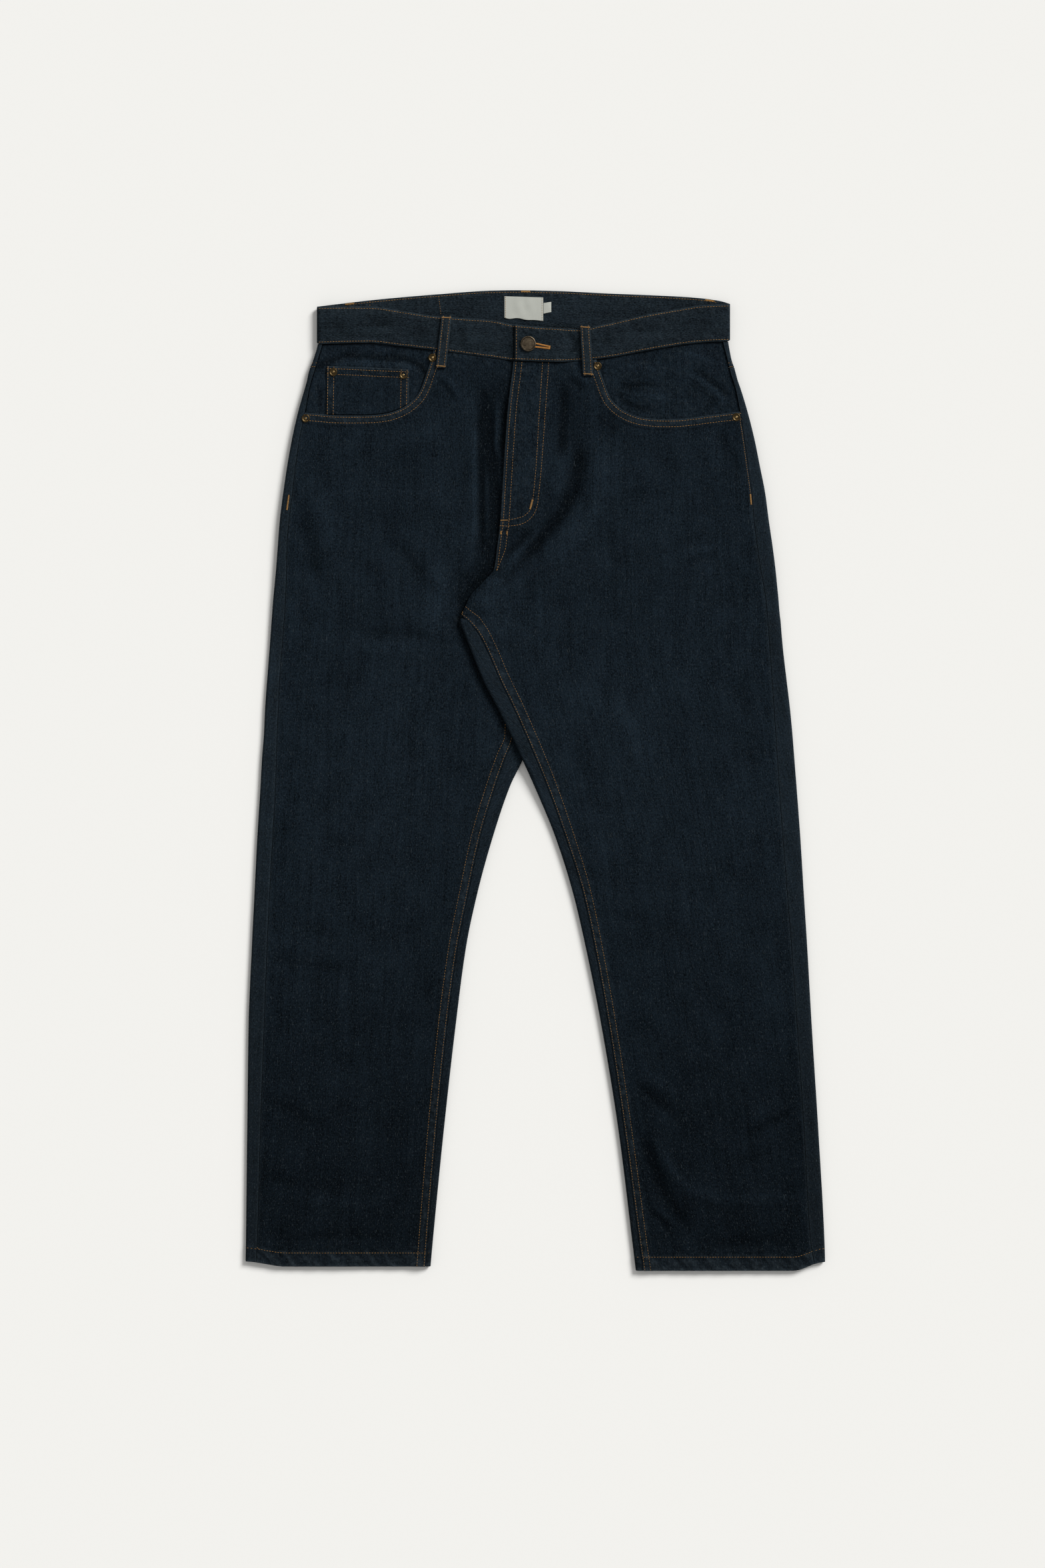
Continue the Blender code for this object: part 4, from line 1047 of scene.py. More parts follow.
    def build_seat_pocket(self, material: Material) -> Object:
        """Make the plain patch pocket below the seat."""
        centre_x = -13.0 + self.side.value * 97.0
        rows = []
        for share in unit_steps(26):
            left = mix(-68.0, -75.0, share)
            right = mix(68.0, 77.0, share)
            across = np.linspace(left, right, 26)
            low = np.interp(across, (left, 0.0, right), (262.0, 238.0, 268.0))
            high = np.interp(across, (left, right), (408.0, 414.0))
            rows.append(as_points(centre_x + self.side.value * across, mix(low, high, share)))
        flat = np.array(rows)
        places = np.dstack([flat, np.full(flat.shape[:2], 1.2)])
        sheet = ClothSheet("seat_pocket_" + self.side.word, places, self.side.value, 1.2,
                           self.side.value * 97.0, edge_radius=0.3, ply=17 + self.side.value)
        return finish_cloth(sheet.build(material), "back_pocket_" + self.side.word, "floor")


# ---- waistband ----

@dataclass
class Waistband:
    """One folded strip once round the waist, its left end lapped over its right end."""

    cloth: float = 2.6
    top_z: float = 8.8
    right_x: float = -237.6
    left_x: float = 212.1
    over_end_x: float = -22.3
    under_end_x: float = 14.0
    step: float = 2.4
    rows: int = 16
    flat: tuple[float, float] = (948.0, 39.5)

    height = 39.5

    def face(self, x: Array, over: bool) -> Array:
        """Height of the front part's upper face; the buttonhole end lies over the other."""
        lift = self.cloth + FORM.layer_gap
        return self.top_z + (lift * ease((self.under_end_x + 34.0 - x) / 30.0) if over else 0.0 * x)

    def stations(self) -> tuple[Array, Array, Array, Array]:
        """x, lower y, upper y and z once round the band, from the lower end to the upper one."""
        radius = (self.top_z - FORM.seat_lift) / 2
        right_turn, left_turn = self.right_x + radius, self.left_x - radius

        def front(start: float, end: float, over: bool) -> Array:
            """Stations along the front: x, lower edge, upper edge and height."""
            x = np.linspace(start, end, round(abs(end - start) / self.step))
            return np.stack([x, BAND.read("front_bottom", x), BAND.read("front_top", x),
                             self.face(x, over)])

        def turn(begin: Array, finish: Array, centre: float, away: int) -> Array:
            """Stations round an end of the band, from front to back."""
            angle = np.linspace(0.0, math.pi, 11)[1:-1]
            share = angle / math.pi
            mean, half = (begin[3] + finish[3]) / 2, (begin[3] - finish[3]) / 2
            return np.stack([centre + away * radius * np.sin(angle), mix(begin[1], finish[1], share),
                             mix(begin[2], finish[2], share), mean + half * np.cos(angle)])

        lower = front(self.under_end_x, right_turn, False)
        back_x = np.linspace(right_turn, left_turn, round((left_turn - right_turn) / self.step))
        back_top = BAND.read("back_top", back_x)
        back = np.stack([back_x, back_top - self.height, back_top, np.full(len(back_x), FORM.seat_lift)])
        upper = front(left_turn, self.over_end_x, True)
        return tuple(np.concatenate([
            lower, turn(lower[:, -1], back[:, 0], right_turn, -1), back,
            turn(back[:, -1], upper[:, 0], left_turn, 1), upper], axis=1))

    def paint(self, places: Array) -> dict[str, Array]:
        """Wear along both edges and at the free end, a painted shadow beside the lapped end, and painted
        shade in the creases.
        """
        x, y, z = places[..., 0], places[..., 1], places[..., 2]
        on_top = z > 6.0
        top = np.abs(np.where(on_top, BAND.read("front_top", x), BAND.read("back_top", x)) - y)
        low = np.abs(BAND.read("front_bottom", x) - y) + 20.0 * ~on_top
        end = np.abs(x - self.over_end_x) + 30.0 * (z < self.top_z + 1.0)
        wear = 0.75 * decay(top, 1.5) + 0.45 * decay(low, 1.3) + 0.5 * decay(end, 1.3)
        pucker = bell(np.minimum(top, low), 9.0) + 0.35
        before_end = self.over_end_x - x
        lapped = (before_end > -2.0) & on_top
        dents = sum(fold.heights(x, y) for fold in BAND_FOLDS) * on_top
        # Painted shadow on the band just left of its lapped end; painted shade in the creases and painted
        # light on their ridges.
        hollow = 1.1 * decay(np.maximum(before_end, 0.0), 5.0) * lapped - dents
        return {"wear": np.clip(wear, 0, 1), "pucker": np.clip(pucker, 0, 1),
                "hollow": np.clip(hollow, -0.4, 1.2)}

    def build(self, material: Material) -> Object:
        """Make the band as cloth."""
        x, low, high, z = self.stations()
        share = unit_steps(self.rows)[:, None]
        y = mix(low, high, share)
        grid_x, grid_z = np.broadcast_to(x, y.shape), np.broadcast_to(z, y.shape)
        front = ease((grid_z - 7.5) / 1.2)
        wave = 0.42 * ripple(grid_x, y * 0.5, 46.0, 5) + 0.2 * ripple(grid_x, y, 17.0, 6)
        belly = 0.5 * np.sin(math.pi * share)
        dents = sum(fold.heights(grid_x, y) for fold in BAND_FOLDS)
        wave = np.maximum(wave + dents, -0.9) * np.sin(math.pi * share) ** 0.5
        grid_z = grid_z + front * (wave + belly)
        sheet = ClothSheet("waistband_cloth", np.dstack([grid_x, y, grid_z]), -1, self.cloth,
                           0.0, True, 0.9, self.paint, 21)
        return finish_cloth(sheet.build(material), "waistband", "yoke_panel_right", "yoke_panel_left",
                            "front_panel_right", "front_panel_left", cut=strip_cut(*self.flat))


@dataclass
class BeltLoops:
    """Folded strips over the front waistband, and the back ones below it."""

    band: Waistband
    width: float = 11.1
    length: float = 56.0
    cloth: float = 1.6
    back_cloth: float = 1.2
    ends: dict[Side, tuple[tuple[float, float], tuple[float, float]]] = field(default_factory=lambda: {
        RIGHT: ((-96.2, 504.6), (-102.6, 448.2)), LEFT: ((54.2, 494.2), (57.6, 439.7))})
    back_x: dict[str, float] = field(default_factory=lambda: {
        "right": -201.9, "centre": -10.5, "left": 190.2})

    def centre_line(self, side: Side, share: Array) -> tuple[Array, Array]:
        """Middle of a front loop from its top to its lower end."""
        (top_x, top_y), (low_x, low_y) = self.ends[side]
        return mix(top_x, low_x, share), mix(top_y, low_y, share)

    def build_front(self, side: Side, material: Material) -> Object:
        """Make one front loop, a little proud of the band between its tacks."""
        share = unit_steps(44)
        middle_x, middle_y = self.centre_line(side, share)
        seam_y = BAND.read("front_bottom", middle_x)
        nearby = [middle_x - self.width / 2, middle_x, middle_x + self.width / 2]
        on_band = np.max([self.band.face(n, side is LEFT) for n in nearby], axis=0) + 0.75
        on_front = np.max([FORM.upper_face(side, n, middle_y) + Front(side).seam_relief(n, middle_y)
                           for n in nearby], axis=0)
        rest = np.maximum(mix(on_front, on_band, ease((middle_y - seam_y + 6.0) / 6.0)), on_front)
        height = rest + FORM.layer_gap + 0.9 * np.sin(math.pi * share) ** 0.7 + self.cloth
        across = np.linspace(-0.5, 0.5, 13)
        crown = 0.35 * (1.0 - (2 * across) ** 4) + 0.12 * np.cos(across * 4 * math.pi)
        x = middle_x[:, None] + across * self.width * side.value
        y = np.repeat(middle_y[:, None], len(across), 1)
        z = height[:, None] + crown

        def paint(places: Array) -> dict[str, Array]:
            """Wear and puckers."""
            run = np.abs(places[..., 0] - np.interp(places[..., 1], middle_y[::-1], middle_x[::-1]))
            return {"wear": 0.8 * decay(self.width / 2 - run, 1.3) + 0.12, "pucker": 0.7 + 0 * run}

        sheet = ClothSheet("belt_loop_" + side.word, np.dstack([x, y, z])[::-1], side.value,
                           self.cloth, edge_radius=0.7, paint=paint, ply=25 + side.value)
        return finish_cloth(sheet.build(material), "belt_loop_front_" + side.word, "waistband_cloth",
                            cut=strip_cut(self.width, self.length))

    def build_back(self, word: str, x: float, material: Material) -> Object:
        """Make one back loop, below the waistband."""
        top = float(BAND.read("back_top", x)) - 0.5
        across, down = np.linspace(-0.5, 0.5, 7) * self.width, np.linspace(self.length, 0.0, 20)
        grid_x, grid_y = np.meshgrid(x + across, top - down)
        places = np.dstack([grid_x, grid_y, np.full(grid_x.shape, self.back_cloth)])
        sheet = ClothSheet("belt_loop_seat_" + word, places, 1, self.back_cloth, edge_radius=0.4,
                           ply=28 + round(x / 100))
        return finish_cloth(sheet.build(material), "belt_loop_back_" + word, "floor",
                            cut=strip_cut(self.width, self.length))


# ---- pockets ----

@dataclass
class FrontPocket:
    """The facing that shows in a pocket's mouth, with the coin pocket on the wearer's right."""

    side: Side
    patch: float = 1.2
    outer: tuple[float, float] = (-226.7, 450.6)
    inner: tuple[float, float] = (-137.4, 446.6)

    def level(self, x: Array) -> Array:
        """y of the pocket opening at x, on the stretch below the waistband."""
        line = POCKET_LINES[self.side]
        order = np.argsort(line[:, 0])
        return np.interp(x, line[order, 0], line[order, 1])

    def facing_face(self, x: Array, y: Array) -> Array:
        """Upper face of the facing: one layer below the front, creased where it shows."""
        shown = ease((y - self.level(x) - 1.5) / 7.0)
        inner_x = POCKET_EDGES[self.side][0][0]
        shown = shown * ease((self.side.value * (x - inner_x) - 3.0) / 8.0)
        shown = shown * ease((BAND.read("front_bottom", x) - y) / 10.0)
        creases = sum(fold.heights(x, y) for fold in FACING_FOLDS[self.side])
        creases = creases + 0.35 * ripple(x, y * 1.6, 26.0, 40 + self.side.value)
        base = FORM.upper_face(self.side, x, y) - FORM.cloth - FORM.facing_drop
        return base + np.maximum(creases, -1.3) * shown

    def build_facing(self, material: Material) -> Object:
        """Make the facing as cloth."""
        side = self.side
        inner_x = POCKET_EDGES[side][0][0] - side.value * 11.0
        share = unit_steps(66)
        rows = []
        for up in unit_steps(40):
            x = mix(inner_x, FORM.outseam(side, 430.0), share)
            y = mix(382.0, BAND.read("front_bottom", x) - FORM.seam_gap, up)
            x = mix(inner_x, FORM.outseam(side, y) - side.value * FORM.seam_gap, share)
            rows.append(as_points(x, y, self.facing_face(x, y)))

        def paint(places: Array) -> dict[str, Array]:
            """Puckers, and painted shade in the creases with painted light on their ridges."""
            x, y = places[..., 0], places[..., 1]
            # Painted shade: darker in the creases, lighter on their ridges.
            return {"pucker": 0.5 + 0.0 * x, "hollow": np.clip(
                -sum(fold.heights(x, y) for fold in FACING_FOLDS[side]) / 1.2, -0.5, 1.2)}

        sheet = ClothSheet("pocket_facing_cloth_" + side.word, np.array(rows), side.value,
                           FORM.cloth, side.value * 125.0, False, paint=paint, ply=33 + side.value)
        return finish_cloth(sheet.build(material), "pocket_facing_" + side.word,
                            "yoke_panel_" + side.word, "back_panel_" + side.word)

    def build_coin_pocket(self, material: Material) -> Object:
        """Make the small patch on the right facing, down to the edge of the pocket mouth."""
        share = unit_steps(46)
        x = mix(self.inner[0], self.outer[0], share)
        high = mix(self.inner[1], self.outer[1], share)
        rows = []
        for up in unit_steps(30):
            y = mix(self.level(x) + 1.0, high, up)
            rows.append(as_points(x, y, self.facing_face(x, y) + 0.3 + self.patch))
        grid = np.array(rows)
        inside = np.minimum(np.minimum(x - self.outer[0], self.inner[0] - x), 12.0)
        grid[..., 2] += 0.35 * ease((inside - 7.0) / -3.0)
        top = high - grid[..., 1]
        grid[..., 2] += 0.35 * ease((top - 10.5) / -2.0)

        def paint(places: Array) -> dict[str, Array]:
            """Wear and puckers."""
            px, py = places[..., 0], places[..., 1]
            along = mix(self.inner[1], self.outer[1],
                        (px - self.inner[0]) / (self.outer[0] - self.inner[0]))
            edge = np.minimum(np.minimum(px - self.outer[0], self.inner[0] - px), along - py)
            return {"wear": 0.7 * decay(np.maximum(edge, 0), 1.3), "pucker": bell(edge, 12.0)}

        sheet = ClothSheet("coin_pocket_cloth", grid, -1, self.patch, -125.0, edge_radius=0.5,
                           paint=paint, ply=37)
        return finish_cloth(sheet.build(material), "coin_pocket", "pocket_facing_cloth_right")


def build_fly_shield(material: Material) -> Object:
    """Make the strip behind the fly, on the right front's edge."""
    rows = []
    for y in np.linspace(FORM.fly_bottom_y + 4.0, 453.5, 50):
        edge = float(FORM.front_start(RIGHT, np.float64(y)))
        x = edge + FORM.seam_gap + np.linspace(0.0, 34.0, 12)
        z = float(FORM.upper_face(RIGHT, edge, y)) - 0.4
        rows.append(as_points(x, np.full(12, y), np.full(12, z)))
    sheet = ClothSheet("fly_shield_cloth", np.array(rows), 1, FORM.cloth, ply=39)
    return finish_cloth(sheet.build(material), "fly_shield", "back_panel_left")


# ---- label ----

@dataclass(frozen=True)
class Tape:
    """One cut of woven tape: its box, and how far its lower and upper edges run askew."""

    name: str
    node: str
    box: tuple[float, float, float, float]
    lean: tuple[float, float]
    wave: float = 0.0

    def edges(self, x: Array) -> tuple[Array, Array]:
        """Lower and upper edge at each place across."""
        left, right, bottom, top = self.box
        wave = self.wave * np.sin(math.pi * (x - left) / 10.0) * (right - x) / (right - left)
        return bottom + self.lean[0] * (right - x) - wave, top - self.lean[1] * (x - left)


@dataclass
class Label:
    """The bare woven label and its bare size tab, inside the back waistband."""

    low: float = 4.45
    cloth: float = 0.8
    label: Tape = Tape("label_tape", "label", (-33.5, 8.7, 499.7, 526.6), (0.085, 0.03), 1.0)
    tab: Tape = Tape("size_tab_tape", "size_tab", (9.0, 17.5, 509.4, 519.2), (-0.2, -0.16))
    least_sheet: float = 10.0

    def sheet(self, tape: Tape, material: Material) -> Object:
        """Make one piece of woven tape, a little wavy between its sewn ends."""
        left, right, bottom, top = tape.box
        across = np.linspace(left, right, 36)
        lower, upper = tape.edges(across)
        x, up = np.meshgrid(across, unit_steps(26))
        y = mix(lower, upper, up)
        middle = np.sin(math.pi * (x - left) / (right - left))
        wave = 0.25 * ripple(x, y, 14.0, 51) + 0.2
        z = self.low + self.cloth + np.maximum(wave, -0.1) * middle
        sheet = ClothSheet(tape.name, np.dstack([x, y, z]), 1, self.cloth, edge_radius=0.3, ply=43)
        piece = keep(sheet.build(material), "label_cloth", tape.node)
        return piece

    def build(self, material: Material) -> list[Object]:
        """Make the label and the tab."""
        return [self.sheet(tape, material) for tape in (self.label, self.tab)]


# ---- geometry nodes ----

class NodeTree:
    """Short hand for making nodes and links in one tree."""

    def __init__(self, tree: bpy.types.NodeTree) -> None:
        """Work on a tree."""
        self.tree = tree

    def add(self, kind: str, inputs: dict[str | int, object] | None = None, **settings: object) -> Node:
        """Add a node.

        Args:
            kind: The node's type.
            inputs: Values or output sockets, by the name or the number of the input.
            settings: The node's own properties.

        Returns:
            The node.
        """
        node = self.tree.nodes.new(kind)
        for name, value in settings.items():
            setattr(node, name, value)
        self.feed(node, inputs or {})
        return node

    def feed(self, node: Node, inputs: dict[str | int, object]) -> None:
        """Give a node's inputs their values or links."""
        for key, value in inputs.items():
            if isinstance(value, NodeSocket):
                self.tree.links.new(value, node.inputs[key])
            else:
                node.inputs[key].default_value = value

    def socket(self, name: str, kind: str, value: object = None, out: bool = False) -> None:
        """Declare a named input or output of the group."""
        made = self.tree.interface.new_socket(
            name, in_out="OUTPUT" if out else "INPUT", socket_type="NodeSocket" + kind)
        if value is not None:
            made.default_value = value

    def math(self, operation: str, *values: object) -> NodeSocket:
        """A math node's output."""
        return self.add("ShaderNodeMath", dict(enumerate(values)), operation=operation).outputs[0]

    def total(self, *terms: tuple[NodeSocket, float]) -> NodeSocket:
        """Sum of values, each times its weight."""
        weighted = [self.math("MULTIPLY", *term) for term in terms]
        return functools.reduce(lambda first, second: self.math("ADD", first, second), weighted)

    def scaled(self, vector: object, by: object) -> NodeSocket:
        """A vector or colour times another one."""
        return self.add("ShaderNodeVectorMath", {0: vector, 1: by}, operation="MULTIPLY").outputs[0]

    def noise(self, place: NodeSocket, scale: float, detail: float, rough: float = 0.5) -> NodeSocket:
        """Noise over places."""
        return self.add("ShaderNodeTexNoise", {"Vector": place, "Scale": scale, "Detail": detail,
                                               "Roughness": rough}).outputs["Fac"]

    def spread(self, value: NodeSocket, low: float, high: float, bottom: float = 0.0,
               top: float = 1.0, **settings: object) -> NodeSocket:
        """A range of values mapped to another one."""
        return self.add("ShaderNodeMapRange", {0: value, 1: low, 2: high, 3: bottom, 4: top},
                        **settings).outputs[0]

    def blend(self, share: NodeSocket, first: object, second: object) -> NodeSocket:
        """A colour between two, each given as a socket or as red, green and blue."""
        first, second = (c if isinstance(c, NodeSocket) else (*c, 1.0) for c in (first, second))
        return self.add("ShaderNodeMix", {0: share, 6: first, 7: second}, data_type="RGBA").outputs[2]

    def painted(self, name: str) -> NodeSocket:
        """An attribute of the mesh."""
        return self.add("ShaderNodeAttribute", attribute_name=name).outputs["Fac"]

    def grain(self) -> NodeSocket:
        """The cloth's own directions."""
        return self.add("ShaderNodeUVMap", uv_map="grain").outputs[0]

    def place(self) -> NodeSocket:
        """Object coordinates."""
        return self.add("ShaderNodeTexCoord").outputs["Object"]

    def bump(self, strength: float, distance: float, height: NodeSocket, **more: object) -> NodeSocket:
        """A normal raised by a height."""
        return self.add("ShaderNodeBump", {"Strength": strength, "Distance": distance,
                                           "Height": height, **more}).outputs[0]


def start_nodes(name: str, values: dict[str, tuple[str, object]]) -> tuple[NodeTree, object]:
    """Start a Geometry Nodes tree.

    Args:
        name: The tree's name.
        values: The type and the value of each named input beside the geometry.

    Returns:
        The tree and its input sockets.
    """
    tree = NodeTree(bpy.data.node_groups.new(name, "GeometryNodeTree"))
    tree.socket("Geometry", "Geometry")
    for label, (kind, value) in values.items():
        tree.socket(label, kind, value)
    tree.socket("Geometry", "Geometry", out=True)
    return tree, tree.add("NodeGroupInput").outputs


def finish_nodes(tree: NodeTree, laid: NodeSocket, material: NodeSocket, smooth: bool
                 ) -> bpy.types.NodeTree:
    """Realize the instances, give them their material and end the tree."""
    whole = tree.add("GeometryNodeRealizeInstances", {"Geometry": laid}).outputs[0]
    if smooth:
        whole = tree.add("GeometryNodeSetShadeSmooth", {"Geometry": whole}).outputs[0]
    dyed = tree.add("GeometryNodeSetMaterial", {"Geometry": whole, "Material": material}).outputs[0]
    tree.add("NodeGroupOutput", {"Geometry": dyed})
    return tree.tree


def enabled(sockets: Sequence[NodeSocket], name: str) -> NodeSocket:
    """The shown socket of a name, where a node has one for each data type."""
    return next(s for s in sockets if s.name == name and s.enabled)


def build_stitch_tree() -> bpy.types.NodeTree:
    """Geometry Nodes that lay one thread bead at every step of the given seam lines."""
    tree, start = start_nodes("lay_stitches", {
        "Pitch": ("Float", 0.003), "Length": ("Float", 0.0026), "Width": ("Float", 0.0006),
        "Height": ("Float", 0.0005), "Wander": ("Float", 0.05), "Seed": ("Int", 1),
        "Thread": ("Material", None)})
    line = tree.add("GeometryNodeMeshToCurve", {"Mesh": start["Geometry"]}).outputs[0]
    steps = tree.add("GeometryNodeResampleCurve", {"Curve": line, "Length": start["Pitch"]},
                     mode="LENGTH").outputs[0]
    tangent = tree.add("GeometryNodeInputTangent").outputs[0]
    lie = tree.add("GeometryNodeInputNamedAttribute", {"Name": "lie"}, data_type="FLOAT_VECTOR")
    along = tree.add("FunctionNodeAlignRotationToVector", {"Vector": tangent}, axis="X").outputs[0]
    upright = tree.add("FunctionNodeAlignRotationToVector",
                       {"Rotation": along, "Vector": enabled(lie.outputs, "Attribute")},
                       axis="Z", pivot_axis="X").outputs[0]
    ball = tree.add("GeometryNodeMeshUVSphere", {"Segments": 7, "Rings": 5, "Radius": 0.5}).outputs[0]
    size = tree.add("ShaderNodeCombineXYZ", {"X": start["Length"], "Y": start["Width"],
                                             "Z": start["Height"]}).outputs[0]
    bead = tree.add("GeometryNodeTransform", {"Geometry": ball, "Scale": size}).outputs[0]
    change = tree.add("FunctionNodeRandomValue", data_type="FLOAT_VECTOR")
    for name, value in (("Min", tree.math("SUBTRACT", 1.0, start["Wander"])),
                        ("Max", tree.math("ADD", 1.0, start["Wander"])), ("Seed", start["Seed"])):
        tree.tree.links.new(value, enabled(change.inputs, name))
    laid = tree.add("GeometryNodeInstanceOnPoints",
                    {"Points": steps, "Instance": bead, "Rotation": upright,
                     "Scale": enabled(change.outputs, "Value")}).outputs[0]
    return finish_nodes(tree, laid, start["Thread"], True)


def evaluated(carrier: Object, group: bpy.types.NodeTree, values: dict[str, object], name: str) -> Object:
    """Run a Geometry Nodes tree on a carrier and keep the result as a plain mesh.

    Args:
        carrier: The object that holds the input geometry; it is removed.
        group: The tree.
        values: Values of the tree's named inputs.
        name: The new object's name.

    Returns:
        The new object, at the origin.
    """
    modifier = carrier.modifiers.new("nodes", "NODES")
    modifier.node_group = group
    for item in group.interface.items_tree:
        if item.item_type == "SOCKET" and item.in_out == "INPUT" and item.name in values:
            modifier[item.identifier] = values[item.name]
    graph = bpy.context.evaluated_depsgraph_get()
    mesh = bpy.data.meshes.new_from_object(carrier.evaluated_get(graph), depsgraph=graph)
    mesh.name = name
    bpy.data.objects.remove(carrier, do_unlink=True)
    return place_mesh(name, mesh)


# ---- stitching ----

@dataclass(frozen=True)
class StitchSize:
    """Sizes of one kind of stitch: its step, its length along the seam, its width and height."""

    pitch: float
    length: float
    width: float
    height: float
    wander: float = 0.05


class Stitch(Enum):
    """The kinds of stitch on the jeans."""

    TOPSTITCH = StitchSize(3.0, 2.3, 0.5, 0.48, 0.09)
    SUNK = StitchSize(3.0, 2.2, 0.4, 0.4, 0.12)
    FINE = StitchSize(2.4, 1.9, 0.42, 0.4, 0.09)
    TACK = StitchSize(0.42, 0.5, 2.0, 0.6, 0.12)
    SMALL_TACK = StitchSize(0.42, 0.5, 1.35, 0.55, 0.2)
    WIDE_TACK = StitchSize(0.42, 0.5, 2.4, 0.7, 0.12)
    BUTTONHOLE = StitchSize(0.4, 0.46, 2.1, 0.75, 0.1)


class Carrier:
    """The upper side of a finished cloth piece, on which seam lines are laid."""

    def __init__(self, piece: Object) -> None:
        """Read the piece's mesh."""
        mesh = piece.data
        self.tree = BVHTree.FromPolygons([v.co for v in mesh.vertices], [p.vertices for p in mesh.polygons])

    def lay(self, line: Array, lift: float) -> tuple[Array, Array]:
        """Drop a flat line onto the piece.

        Args:
            line: Points (x, y) in millimetres.
            lift: Height of the thread's middle above the cloth.

        Returns:
            The points in metres and the cloth's direction at each.
        """
        places, lies = [], []
        for x, y in line:
            hit, normal, _, _ = self.tree.ray_cast(Vector((x * MM, y * MM, 0.1)), Vector((0, 0, -1)))
            if hit is None:
                hit, normal, _, _ = self.tree.find_nearest(Vector((x * MM, y * MM, 0.02)))
            normal = normal if normal.z > 0.2 else Vector((0, 0, 1))
            places.append(hit)
            lies.append(normal)
        lies = np.array(lies)
        lies[1:-1] = (lies[:-2] + lies[1:-1] + lies[2:]) / 3
        lies /= np.linalg.norm(lies, axis=1, keepdims=True)
        return np.array(places) + lies * lift * MM, lies


@dataclass
class Needlework:
    """Every stitched line, gathered by seam and sewn by Geometry Nodes."""

    pieces: dict[str, Object]
    thread: Material
    bright_thread: Material
    carriers: dict[str, Carrier] = field(default_factory=dict)
    lines: dict[tuple[str, Stitch], list[tuple[Array, Array]]] = field(default_factory=dict)

    def sew(self, seam: str, stitch: Stitch, piece: str, path: Path | Array, lift: float = 0.12,
            step: float = 1.0) -> None:
        """Add a stitched line.

        Args:
            seam: The seam's name, which the mesh takes.
            stitch: The kind of stitch.
            piece: The cloth that carries it.
            path: Points (x, y) in millimetres.
            lift: Height of the thread's middle above the cloth.
            step: Distance between the points where the cloth's height is read.
        """
        if piece not in self.carriers:
            self.carriers[piece] = Carrier(self.pieces[piece])
        path = np.array(path, float)
        run = np.linalg.norm(np.diff(path, axis=0), axis=1).sum()
        line = spread_evenly(path, max(3, round(run / step)))
        laid = self.carriers[piece].lay(line, lift)
        self.lines.setdefault((seam, stitch), []).append(laid)

    def tack(self, seam: str, piece: str, start: tuple[float, float], end: tuple[float, float],
             stitch: Stitch = Stitch.TACK) -> None:
        """Add a bartack: close stitches across a short line."""
        self.sew(seam, stitch, piece, [start, end], lift=0.2, step=0.5)

    def build(self) -> list[Object]:
        """Sew every line and return one mesh for each seam."""
        tree = build_stitch_tree()
        made = []
        for number, ((seam, stitch), lines) in enumerate(self.lines.items()):
            size = stitch.value
            points = np.concatenate([places for places, _ in lines])
            lies = np.concatenate([lie for _, lie in lines])
            edges, first = [], 0
            for places, _ in lines:
                edges += [(first + i, first + i + 1) for i in range(len(places) - 1)]
                first += len(places)
            mesh = bpy.data.meshes.new(seam)
            mesh.from_pydata(points.tolist(), edges, [])
            layer = mesh.attributes.new("lie", "FLOAT_VECTOR", "POINT")
            layer.data.foreach_set("vector", lies.astype(np.float32).ravel())
            carrier = place_mesh(seam + "_line", mesh)
            name = f"{seam}_{stitch.name.lower()}"
            values = {"Pitch": size.pitch * MM, "Length": size.length * MM,
                      "Width": size.width * MM, "Height": size.height * MM,
                      "Wander": size.wander, "Seed": 7 + number,
                      "Thread": self.bright_thread if seam == "buttonhole" else self.thread}
            made.append(keep(evaluated(carrier, tree, values, name), "denim"))
        return made


